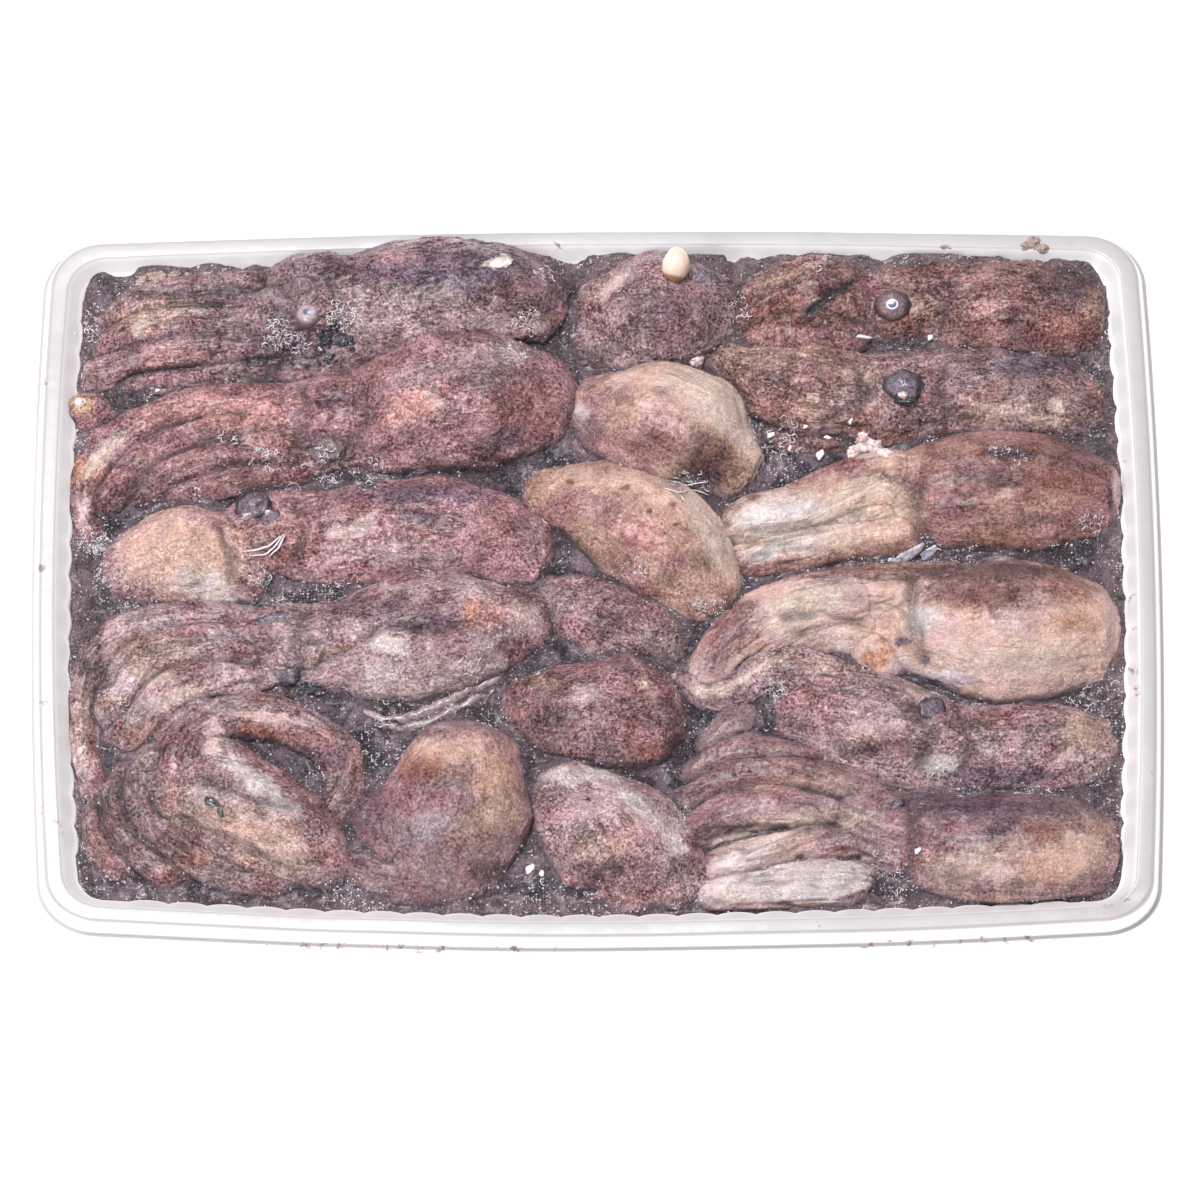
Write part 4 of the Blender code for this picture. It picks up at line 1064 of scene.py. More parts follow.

# %% [markdown]
# ## Painting the skins
#
# Each animal has two base tones that drift into each other, and patches laid
# over them: cream where the skin is torn, pink where the flesh shows, inky
# where the frozen water has stained it. Some patches are painted light instead:
# highlights and shade on the third animal's lobe, highlights on the fourth and
# twelfth, partly the light and dark sides of the sixth and eighth, and shade
# round two eyes. A patch is an ellipse on the slanted plan, whose edge is broken
# up by noise, so that no ellipse can be made out.

# %% Patches of colour
# tone, across, away, half width, half depth, turn in degrees, strength, and "sharp" for a clear edge
MARKS = {
    "octopus_01": ("mauve", "grey", [
        ("tan", -118, 83, 13, 5, 15, 0.9), ("cream", -122, 79, 1.6, 3.5, -10, 0.9),
        ("grey", -105, 91, 25, 3, 8, 0.6), ("rose", -112, 70, 14, 4, 0, 0.5),
        ("brown", -134, 64, 3, 3, 0, 0.6), ("dusk", -98, 88, 10, 4, 0, 0.7), ("dusk", -80, 90, 7, 4, 0, 0.8),
        ("palemauve", -60, 80, 14, 10, 0, 0.6), ("grey", -45, 78, 14, 6, 0, 0.6),
        ("dusk", -43, 98, 36, 8, 0, 0.9), ("rose", -57, 100, 12, 3, 0, 0.4),
        ("slate", -32, 93, 20, 5, 0, 0.6), ("dusk", -84, 76, 14, 9, 0, 0.7), ("ink", -80, 70, 10, 4, 10, 0.5),
        ("brown", -57, 72, 14, 4, 15, 0.5), ("umber", -92, 68, 10, 4, 10, 0.7),
        ("dusk", -13, 90, 6, 10, 0, 0.7), ("palemauve", -38, 79, 20, 5, 0, 0.5),
        ("brown", -20, 88, 8, 8, 0, 0.4), ("tan", -15, 80, 8, 4, 0, 0.35),
        ("white", -26, 98.3, 4.2, 1.7, 12, 1, "sharp"), ("ink", -32.5, 97, 2, 0.8, 45, 0.9),
        ("dusk", -74, 70, 24, 4, 0, 0.55), ("dusk", -72, 97, 18, 4, 0, 0.5)]),
    "octopus_02": ("mauve", "grey", [
        ("pink", 5, 91, 6, 2.2, 40, 0.9), ("lavender", 30, 94, 6, 4, -10, 0.85),
        ("grey", 36, 90, 4, 7, -30, 0.8), ("dusk", 20, 84, 10, 5, 0, 0.5), ("brown", -2, 82, 4, 8, 0, 0.4)]),
    "octopus_03": ("rosewood", "brown", [
        # painted light on the lobe: the tan edge and the orange and pink streaks are painted highlights, and
        # the near-black streak paints shade into its fold
        ("tan", 50, 93, 12, 1.5, 25, 0.6), ("orange", 66, 88, 5, 1.8, 25, 0.8),
        ("pink", 57, 84, 5, 1.2, 40, 0.7), ("ink", 62, 86, 12, 1.8, 38, 0.8), ("rust", 50, 82, 7, 7, 0, 0.5),
        ("tan", 86, 84, 5, 6, 0, 0.6), ("rose", 107, 83, 10, 3, -5, 0.6), ("rose", 105, 92, 6, 4, 0, 0.4),
        ("dusk", 128, 88, 3, 3, 0, 0.8), ("tan", 133, 84, 3, 6, -20, 0.7), ("rust", 125, 76, 10, 5, 0, 0.4),
        ("rose", 104, 76, 8, 3, 0, 0.5)]),
    "octopus_04": ("rosewood", "mauve", [
        ("salmon", -49, 54.5, 8, 4.5, 20, 0.9, "sharp"), ("pink", -43, 56, 2.5, 3, 0, 0.8),
        # the grey patch at the mantle's top right is a painted highlight
        ("grey", -22, 73, 8, 3, -15, 0.6), ("palemauve", -26, 70, 12, 5, 0, 0.7),
        ("grey", -30, 66, 14, 6, 0, 0.5), ("brown", -18, 60, 6, 8, 0, 0.4), ("umber", -25, 43, 6, 3, 45, 0.8),
        ("dusk", -24, 44, 12, 5, 30, 0.6), ("rust", -16, 48, 3, 6, -30, 0.4),
        ("palemauve", -44, 65, 12, 4, 10, 0.4), ("dusk", -70, 57, 6, 5, 0, 0.7),
        ("dusk", -72, 43, 8, 4, 0, 0.8), ("salmon", -93, 52, 12, 6, 0, 0.8),
        ("salmon", -112, 55, 12, 3, 25, 0.6), ("orange", -137, 36, 3, 7, 65, 0.8),
        ("cream", -132, 40, 9, 2, 50, 0.6), ("ink", -96, 44, 2.5, 2.5, 0, 0.8),
        ("ink", -80, 52.5, 1.6, 1.6, 0, 0.7), ("dusk", -96, 59, 3, 1.5, 0, 0.8),
        ("brown", -110, 38, 16, 3, 20, 0.6), ("pink", -136, 22, 2.5, 6, 0, 0.7),
        ("amber", -137, 56, 4, 3, 0, 0.9), ("umber", -122, 29, 10, 6, 30, 0.7),
        ("umber", -130, 25, 6, 9, 0, 0.7)]),
    "octopus_05": ("grey", "brown", [
        ("tan", 42, 71, 14, 6, 0, 0.6), ("olive", 40, 76, 8, 3, 30, 0.5), ("tan", 62, 70, 14, 2, -5, 0.5),
        ("tan", 62, 54, 12, 7, 0, 0.5), ("tan", 74, 60, 10, 6, 0, 0.4), ("rosewood", 52, 60, 14, 6, 0, 0.5),
        # the dusk patch round the eye is painted shade
        ("dusk", 84, 58, 8, 6, 0, 0.6), ("beige", 108, 52, 12, 4, -3, 0.7),
        ("cream", 123, 53, 3, 2, -40, 0.9, "sharp"), ("beige", 120, 49, 6, 2, 0, 0.8),
        ("slate", 118, 66, 14, 4, 0, 0.7), ("grey", 128, 58, 5, 6, 0, 0.5), ("mauve", 95, 58, 7, 7, 0, 0.5),
        ("grey", 68, 55, 8, 5, 0, 0.6), ("brown", 106, 57, 8, 4, 0, 0.5)]),
    "octopus_06": ("mauve", "tan", [
        # the cream on the upper right is the skin's own colour and partly a painted highlight; the brown,
        # umber and near-black patches on the lower side are partly painted shade
        ("peach", 14, 63, 16, 4, 5, 0.7), ("cream", 28, 60, 12, 6, -30, 0.95),
        ("cream", 37, 52, 8, 11, 30, 0.95), ("cream", 42, 46, 4, 9, 8, 0.9),
        ("cream", 28, 56, 9, 6, -35, 0.6), ("peach", 20, 54, 10, 6, 0, 0.4), ("dusk", 8, 56, 4, 3, 0, 0.5),
        ("rose", 17, 53, 4, 4, 0, 0.5), ("brown", 14, 41, 10, 6, -10, 0.95),
        ("umber", 31, 36, 9, 6, -20, 0.9), ("ink", 28, 32, 8, 3, -10, 0.7), ("grey", -3, 48, 6, 8, 0, 0.5),
        ("white", -4, 53, 2, 3, 45, 0.5), ("mauve", 0, 42, 9, 4, 0, 0.6), ("dusk", 28, 44, 5, 3, 0, 0.6)]),
    "octopus_07": ("mauve", "rosewood", [
        ("peach", -112, 11, 17, 13, -10, 0.9), ("peach", -103, 8, 10, 8, -10, 0.8),
        ("white", -104, 1, 8, 4.5, -15, 0.95), ("white", -97, -3, 5, 1.5, -20, 0.9),
        ("cream", -106, 6, 5, 3, 0, 0.8), ("tan", -118, 10, 6, 2, 50, 0.5),
        ("apricot", -108, 16, 7, 3, 0, 0.4), ("orange", -95, 15, 6, 3, 0, 0.5),
        ("brown", -85, 12, 6, 5, 0, 0.6), ("salmon", -80, 20, 6, 5, 0, 0.5),
        ("pink", -66, 17, 6.5, 2.5, 10, 0.95, "sharp"), ("pink", -60, 19.5, 1.6, 3.5, -15, 0.95, "sharp"),
        ("dusk", -47, 21, 7, 2.5, -15, 0.8), ("slate", -45, 28, 24, 3, 0, 0.7),
        # the dusk patch round the eye is painted shade
        ("palemauve", -52, 10, 18, 4, 0, 0.5), ("dusk", -91.5, 23, 7, 6, 0, 0.5),
        ("rose", -40, 13, 20, 3, 0, 0.4), ("grey", -60, 8, 15, 2.5, 0, 0.3), ("rust", -26, 20, 6, 5, 0, 0.4),
        ("grey", -18, 15, 4, 10, 0, 0.5)]),
    "octopus_08": ("rosewood", "tan", [
        # the peach band at the top right and the cream on the right are partly a painted highlight, and the
        # near-black patch on the lower left is partly painted shade
        ("tan", -15, 27, 8, 4, 30, 0.8), ("peach", 0, 32, 14, 4, -3, 0.7), ("peach", 18, 28, 15, 6, -35, 0.9),
        ("cream", 33, 14, 6, 14, 25, 0.9), ("peach", 36, 5, 2.5, 6, 0, 0.7), ("mauve", 2, 22, 9, 6, 0, 0.6),
        ("salmon", 14, 17, 12, 8, -30, 0.5), ("ink", -8, 14, 10, 2.5, -40, 0.8),
        ("brown", 3, 8, 8, 3, -25, 0.6), ("umber", -7, 31, 1.2, 1, 0, 0.8), ("umber", 8, 29, 1.4, 1, 0, 0.8),
        ("umber", 20, 24, 1.2, 1.2, 0, 0.8), ("umber", 21, 18, 1, 1, 0, 0.8),
        ("umber", 14, 22, 1, 1.3, 0, 0.8), ("cream", 30, 24, 6, 6, -40, 0.6)]),
    "octopus_09": ("rosewood", "brown", [
        ("peach", 58, 19, 24, 12, 12, 0.95), ("peach", 78, 19, 10, 10, 0, 0.7),
        ("cream", 55, 18, 21, 9, 12, 0.9), ("white", 50, 21, 16, 4.5, 8, 0.9),
        ("cream", 70, 25, 12, 6, 12, 0.8), ("peach", 80, 38, 8, 6, 0, 0.8), ("white", 50, 11, 12, 3, 15, 0.8),
        ("tan", 56, 28, 14, 2, 12, 0.5), ("tan", 70, 26, 8, 3, 0, 0.4), ("beige", 76, 23, 8, 6, 0, 0.6),
        ("rust", 74, 19, 3, 2, 0, 0.4), ("umber", 60, 5, 12, 1.5, 15, 0.5), ("orange", 75, 24, 3, 2, 0, 0.5),
        ("umber", 80, 11, 6, 3, 0, 0.5), ("tan", 85, 17, 3, 8, 0, 0.4), ("pink", 73, 41, 5, 4, 0, 0.9),
        ("rust", 69, 37, 1.5, 1, 0, 0.9), ("grey", 100, 35, 12, 3, -15, 0.5), ("ink", 110, 39, 8, 2, 0, 0.8),
        ("rust", 125, 28, 12, 5, 0, 0.4), ("mauve", 95, 18, 7, 4, 0, 0.5),
        ("umber", 105, 31, 14, 3, -10, 0.6), ("dusk", 98, 22, 8, 3, 0, 0.3), ("tan", 100, 17, 9, 3, 0, 0.4),
        ("tan", 120, 22, 8, 4, 20, 0.5), ("umber", 128, 36, 8, 4, -20, 0.6), ("tan", 96, 40, 6, 3, 0, 0.5),
        ("dusk", 115, 19, 9, 2.5, 0, 0.6), ("beige", 108, 26, 4, 1.5, 20, 0.5),
        ("tan", 106, 21, 8, 4, 0, 0.4), ("pink", 139, 28, 1.5, 8, 0, 0.6), ("ink", 137, 25, 1, 5, 0, 0.8),
        ("tan", 110, 14, 15, 2, 0, 0.3), ("white", 46, 22, 10, 5, 10, 0.8)]),
    "octopus_10": ("palemauve", "mauve", [
        ("tan", -118, -20, 14, 7, 0, 0.6), ("cream", -118, -26, 5, 3, 0, 0.7),
        ("cream", -112, -32, 10, 3, 20, 0.6), ("orange", -120, -43, 7, 4, 0, 0.5),
        ("brown", -122, -15, 10, 2.5, 0, 0.6), ("tan", -128, -34, 4, 4, 0, 0.6),
        ("tan", -137, -40, 2.5, 12, 0, 0.6), ("rust", -134, -46, 1.2, 10, 0, 0.6),
        ("umber", -134, -20, 5, 14, 0, 0.8), ("mauve", -90, -20, 8, 6, 0, 0.6),
        ("palemauve", -55, -24, 16, 7, 0, 0.7), ("white", -56, -17, 5.5, 3, -10, 0.95, "sharp"),
        ("white", -57, -27, 4, 4, 0, 0.4), ("rose", -68, -27, 5, 4, 0, 0.5),
        ("salmon", -30, -9, 6, 5, 0, 0.8), ("orange", -33, -6, 3, 3, 0, 0.7),
        ("dusk", -45, -11, 12, 3, 0, 0.8), ("rose", -60, -5, 25, 3, 15, 0.4),
        ("tan", -70, -19, 10, 1.2, 25, 0.7), ("beige", -45, -33, 15, 2.5, 8, 0.6),
        ("palemauve", -20, -12, 6, 6, 0, 0.5), ("dusk", -60, -6, 16, 4.5, 3, 0.75),
        ("beige", -18, -7, 5, 5, 0, 0.6)]),
    "octopus_11": ("mauve", "grey", [
        ("mauve", -5, -5, 8, 5, 0, 0.5), ("dusk", 3, -12, 5, 5, 0, 0.5), ("tan", 20, -10, 2, 9, 30, 0.6),
        ("olive", 20, -18, 4, 3, 0, 0.5), ("palemauve", -10, -5, 6, 4, 0, 0.6)]),
    "octopus_12": ("pink", "peach", [
        ("cream", 58, -5, 16, 6, 15, 0.95), ("cream", 52, -12, 8, 5, 0, 0.9),
        ("rosewood", 37, -12, 9, 9, -35, 0.85), ("rosewood", 32, -18, 5, 10, -35, 0.85),
        ("brown", 66, 3.5, 20, 3, 6, 0.8), ("mauve", 32, -20, 3, 8, 0, 0.6), ("pink", 70, -4, 8, 4, 0, 0.6),
        # the small lavender patch on the brown tissue is a painted highlight
        ("lavender", 64, 1, 4, 1.5, 0, 0.7), ("tan", 55, -19, 12, 2, 0, 0.7),
        ("white", 65, -18, 2, 3, 0, 0.6), ("orange", 74, -23, 4, 4, 0, 0.9),
        ("rust", 75, -17, 2, 1.5, 0, 0.8), ("slate", 80, -18, 2.5, 3, -30, 0.9),
        ("white", 81, -23, 3, 1.5, 0, 0.7), ("peach", 110, -22, 25, 9, 0, 0.95),
        ("apricot", 128, -10, 9, 8, 0, 0.9), ("pink", 100, -20, 14, 8, 0, 0.6),
        ("white", 86, -12, 3.5, 6, -30, 0.95), ("white", 85, -8, 4, 1.5, 0, 0.9),
        ("lavender", 93, -29, 8, 3, -5, 0.9), ("umber", 105, 3, 32, 5, 0, 0.9),
        ("umber", 106, -3, 9, 6, 20, 0.7), ("cream", 106, -23, 20, 5, 0, 0.7),
        ("dusk", 98, -3, 16, 3, 0, 0.7), ("rust", 125, -2, 10, 4, 0, 0.7),
        ("orange", 125, -12, 10, 2, 0, 0.4), ("brown", 105, -5, 15, 5, 0, 0.85),
        ("white", 92, -27, 7, 2.5, 0, 0.5), ("cream", 120, -24, 9, 5, 0, 0.6)]),
    "octopus_13": ("rosewood", "mauve", [
        ("tan", -15, -29, 8, 2.5, 0, 0.5), ("pink", -4, -32, 3.2, 3.6, 0, 0.9),
        ("peach", 12, -29, 1.4, 2.2, 0, 0.95), ("pink", 15, -32.5, 1, 1, 0, 0.7),
        ("rust", -18, -37, 6, 4, 0, 0.5), ("rose", 10, -45, 10, 4, 0, 0.5), ("rust", 14, -50, 6, 2.5, 0, 0.7),
        ("umber", -12, -39, 5, 4, 0, 0.6), ("grey", -5, -48, 8, 3, 0, 0.4),
        ("beige", 21, -34, 1, 3, 0, 0.6)]),
    "octopus_14": ("grey", "mauve", [
        ("beige", 40, -27, 14, 1.6, 30, 0.7), ("beige", 30, -32, 6, 2, 0, 0.8),
        ("tan", 60, -25, 12, 3, 0, 0.4), ("mauve", 60, -38, 12, 5, 0, 0.6), ("pink", 74, -44, 9, 4, 0, 0.8),
        ("beige", 65, -51, 6, 2.5, -20, 0.8), ("beige", 84, -33, 6, 3, 0, 0.5),
        ("brown", 105, -42, 12, 4, 0, 0.5), ("umber", 97, -44, 6, 4, 0, 0.5), ("tan", 128, -45, 7, 7, 0, 0.8),
        ("pink", 124, -52, 3, 3, 0, 0.6), ("slate", 105, -58, 18, 3, 0, 0.7),
        ("white", 90, -54, 6, 3, 0, 0.5), ("brown", 72, -49, 13, 5, 0, 0.6), ("dusk", 66, -50, 10, 4, 0, 0.7),
        ("brown", 52, -33, 8, 5, 0, 0.5)]),
    "octopus_15": ("rosewood", "grey", [
        ("pink", -88, -39, 14, 1.8, -10, 0.8), ("pink", -102, -46, 2.5, 7, 0, 0.7),
        ("mauve", -70, -50, 3, 6, 40, 0.6), ("rust", -90, -43.5, 9, 1.5, -8, 0.8),
        ("white", -88, -60, 13, 3.4, -42, 1.0), ("dusk", -74, -52, 8, 5, 0, 0.7),
        ("grey", -103, -55, 7, 4, 0, 0.6), ("white", -103, -62, 5, 3, 0, 0.4),
        ("ink", -102, -64.5, 3, 1.8, -30, 0.85), ("ink", -99, -68, 1.2, 2, 0, 0.6),
        ("peach", -90, -72, 14, 6, -25, 0.6), ("beige", -85, -80, 12, 5, -15, 0.6),
        ("rust", -108, -78, 8, 4, -40, 0.5), ("rose", -113, -60, 3, 8, 0, 0.6),
        ("grey", -70, -76, 8, 5, 0, 0.6), ("grey", -85, -35.5, 20, 1.2, 0, 0.6),
        ("umber", -127, -62, 7, 22, 0, 0.5), ("beige", -105, -68, 8, 5, -20, 0.6),
        ("umber", -116, -74, 10, 10, 0, 0.35)]),
    "octopus_16": ("mauve", "grey", [
        ("peach", -38, -50, 16, 6, 0, 0.8), ("rust", -47, -54, 8, 5, 0, 0.7),
        ("apricot", -27, -58, 6, 8, 0, 0.8), ("tan", -32, -72, 8, 6, 0, 0.6),
        ("lavender", -45, -72, 9, 5, 30, 0.6), ("tan", -25, -66, 6, 8, 0, 0.7),
        ("grey", -50, -84, 12, 5, 0, 0.7), ("dusk", -61, -67, 8, 9, 0, 0.85),
        ("umber", -30, -85, 6, 4, 0, 0.6), ("mauve", -57, -62, 5, 7, 0, 0.5),
        ("umber", -25, -74.5, 1, 1, 0, 0.8), ("dusk", -64, -80, 7, 5, 0, 0.6)]),
    "octopus_17": ("mauve", "grey", [
        ("palegrey", -5, -57, 11, 3, 0, 0.95), ("palegrey", 10, -65, 10, 3, -50, 0.9),
        ("palegrey", 20, -76, 3, 7, 20, 0.7), ("palemauve", 0, -66, 10, 5, 0, 0.6),
        ("rose", 8, -70, 8, 4, 0, 0.4), ("tan", 0, -78, 12, 4, 0, 0.5), ("umber", 0, -84, 12, 3, 0, 0.6),
        ("ink", -2.5, -64, 1, 0.8, 0, 0.9), ("rose", 5, -93, 12, 3, 0, 0.4),
        ("umber", 25, -80, 3, 8, 0, 0.5)]),
    "octopus_18": ("mauve", "grey", [
        ("palemauve", 48, -68, 22, 4, 10, 0.4), ("brown", 50, -56, 26, 6, 5, 0.5),
        ("umber", 30, -58, 10, 6, 20, 0.15), ("tan", 50, -60, 16, 2, 5, 0.5),
        ("cream", 45, -74, 18, 3.5, 15, 0.9), ("pink", 46, -86, 26, 9, 6, 0.8),
        ("white", 38, -82, 9, 2.5, 12, 0.9), ("peach", 52, -78, 9, 2, 25, 0.8),
        ("beige", 66, -71, 6, 1.5, 20, 0.8), ("white", 56, -89, 17, 6.5, 3, 0.9, "sharp"),
        ("white", 40, -91, 15, 6, 5, 0.85), ("tan", 50, -96, 14, 1.5, 0, 0.7),
        ("rust", 64, -79.5, 3, 1.2, 0, 0.9), ("slate", 95, -66, 18, 4, 0, 0.6),
        ("ink", 105, -73, 6, 3, 30, 0.6), ("beige", 95, -85, 12, 6, 0, 0.6),
        ("peach", 114, -84, 18, 7, 0, 0.5), ("apricot", 118, -85, 8, 6, 0, 0.8),
        ("pink", 104, -87, 5, 3, 0, 0.6), ("rust", 118, -75, 7, 3, 0, 0.7), ("tan", 131, -76, 4, 6, 0, 0.6),
        ("tan", 100, -94, 20, 2, 0, 0.5), ("umber", 26, -76, 4, 8, 0, 0.6), ("peach", 126, -80, 9, 8, 0, 0.7),
        ("dusk", 107, -66, 20, 4, 0, 0.7)]),
}

# %% Folds pressed into the skins
# paths on the slanted plan, and how wide and deep each fold is in mm
FOLDS = {
    "octopus_01": [([(-70, 92), (-68, 84), (-70, 76)], 1.6, 1.2),
                   ([(-92, 92), (-104, 90), (-120, 90)], 1.2, 0.8)],
    "octopus_03": [([(70, 92), (60, 85), (55, 80)], 1.6, 1.8), ([(90, 90), (94, 84), (92, 78)], 1.2, 0.9)],
    "octopus_04": [([(-78, 60), (-76, 52), (-80, 42)], 1.4, 0.9),
                   ([(-62, 60), (-60, 52), (-64, 42)], 2.0, 1.0)],
    "octopus_05": [([(70, 66), (73, 58), (70, 50)], 1.4, 0.9), ([(94, 64), (92, 58), (94, 50)], 1.6, 1.0)],
    "octopus_07": [([(-100, 18), (-96, 10), (-97, 2)], 1.5, 1.2),
                   ([(-80, 26), (-77, 18), (-80, 8)], 1.4, 0.9)],
    "octopus_09": [([(86, 29), (85, 20), (88, 11)], 1.8, 1.6), ([(42, 16), (56, 17), (70, 21)], 1.2, 0.5)],
    "octopus_10": [([(-75, -24), (-55, -12), (-40, -14)], 1.3, 1.0),
                   ([(-76, -6), (-80, -16), (-78, -27)], 1.6, 1.0)],
    "octopus_12": [([(84, 2), (83, -10), (86, -24)], 1.8, 1.8), ([(50, -10), (60, -9), (70, -12)], 1.3, 1.1)],
    "octopus_14": [([(84, -36), (88, -44), (86, -54)], 1.8, 1.2),
                   ([(96, -40), (98, -48), (96, -56)], 1.4, 0.8)],
    "octopus_15": [([(-104, -58), (-90, -63), (-80, -66)], 1.4, 1.2),
                   ([(-110, -70), (-98, -76), (-84, -84)], 1.0, 0.8)],
    "octopus_18": [([(82, -66), (84, -76), (80, -88)], 1.8, 1.2),
                   ([(30, -74), (46, -73), (62, -72)], 1.1, 0.9)],
}
# some animals are lighter or darker as a whole
LIGHTNESS = {"octopus_01": 1.25, "octopus_02": 1.2, "octopus_03": 1.15, "octopus_04": 1.3, "octopus_05": 1.4,
             "octopus_06": 1.35, "octopus_07": 1.5, "octopus_08": 1.2, "octopus_09": 1.35, "octopus_10": 1.1,
             "octopus_11": 1.25, "octopus_12": 1.2, "octopus_13": 1.05, "octopus_14": 1.6, "octopus_15": 1.3,
             "octopus_16": 1.15, "octopus_17": 1.55, "octopus_18": 1.2}
print(sum(len(marks) for base, second, marks in MARKS.values()), "patches")

# %% [markdown]
# ## The lie of the land
#
# Shade is painted into the hollows between the animals. To know where the hollows
# are, we lay a grid over the tray and note the highest point of flesh in every
# cell. Blurred, that map says how high the surroundings stand, so a vertex that
# lies well below it is in a crevice and is painted dark, as shade.


# %% Height map
MAP_STEP = 1.0
MAP_X = np.arange(-HALF_LENGTH, HALF_LENGTH + MAP_STEP, MAP_STEP)
MAP_Y = np.arange(-HALF_WIDTH, HALF_WIDTH + MAP_STEP, MAP_STEP)


def map_cell(points):
    column = np.clip(((points[:, 0] + HALF_LENGTH) / MAP_STEP).astype(int), 0, len(MAP_X) - 1)
    row = np.clip(((points[:, 1] + HALF_WIDTH) / MAP_STEP).astype(int), 0, len(MAP_Y) - 1)
    return column, row


def blur(heights, width):
    """Blur a map with a bell curve of some width in mm, along each side in turn."""
    for axis in range(2):
        steps = np.arange(heights.shape[axis]) * MAP_STEP
        bell = np.exp(-((steps[:, None] - steps[None]) / width) ** 2 / 2)
        bell /= bell.sum(axis=1, keepdims=True)
        heights = np.moveaxis(np.tensordot(bell, heights, (1, axis)), 0, axis)
    return heights


# %% [markdown]
# ## Wrinkles
#
# The skin is pushed in and out along its normals: broad lumps, the dents of
# thawed and refrozen flesh, long wrinkles with the muscle, and a fine pimpling.
# Arms are more wrinkled than mantles. The grooves between wrinkles are kept as
# an attribute, with which the material paints shade into them.


# %% Shape a skin
ROUGH_LIMBS = ("arm", "loop", "inner", "lobe", "neck", "head")
SMOOTH_ARMED = ("octopus_09", "octopus_12")


def shape_skin(name):
    """Wrinkle one skin and fit it into the tray; keeps its grooves and its flow."""
    skin, middles = SKINS[name]
    seed = 100 * ANIMALS.index(name)
    points, normals = get_points(skin.data), get_normals(skin.data)
    flows, weights, seams = flow_of(points, LIMBS[name], middles)
    strands, strength = np.zeros(len(points)), np.zeros(len(points))
    for number, (limb, flow, weight) in enumerate(zip(LIMBS[name], flows, weights)):
        finer = noise(flow * (1.6, 2.1, 2.1), seed + 40 + number)
        strands += weight * (noise(flow, seed + number) + 0.45 * finer)
        strength += weight * (0.75 if limb.startswith(ROUGH_LIMBS) else 0.36)
    valleys = 1 - ramp(np.abs(strands), 0.0, 0.30)
    patchy = ramp(layered_noise(points / 11, seed + 5, 2), -0.45, 0.35)
    grooves = valleys * strength * patchy
    seams = seams * (0.5 + 0.5 * patchy) * (0.25 if name in SMOOTH_ARMED else 1.0)
    lumps = 0.45 if SLOT_OF[name] == "pale_flesh" else 1.0
    push = 1.1 * lumps * layered_noise(points / 15, seed + 1, 2)
    push += 0.6 * lumps * layered_noise(points / 4.5, seed + 2, 3, 0.6)
    push += 0.15 * noise(points / 1.3, seed + 3)
    push += 0.35 * strength * strands - 0.95 * grooves - 1.3 * seams
    grooves = np.maximum(grooves, seams)
    plan = plan_of(points)
    for path, width, depth in FOLDS.get(name, []):
        wander = 1.3 * layered_noise(points / 6, seed + 8, 2)
        fold = np.exp(-((distance_to_path(plan, path) + wander) / width) ** 2)
        push -= depth * fold
        grooves = np.maximum(grooves, 0.8 * fold)
    points += normals * push[:, None]
    set_points(skin.data, settle(keep_inside(points)))
    nearest = np.argmax(weights, axis=0)
    flow = np.array(flows)[nearest, np.arange(len(points))]
    return grooves, flow


SHAPED = {name: shape_skin(name) for name in ANIMALS}
heights = np.full((len(MAP_X), len(MAP_Y)), ICE_LEVEL)
for skin, middles in SKINS.values():
    skin_points = get_points(skin.data)
    np.maximum.at(heights, map_cell(skin_points), skin_points[:, 2])
surroundings = blur(heights, 5.0)
near_surroundings = blur(heights, 2.2)
print(f"flesh stands up to {heights.max() - RIM:.1f} mm over the rim")


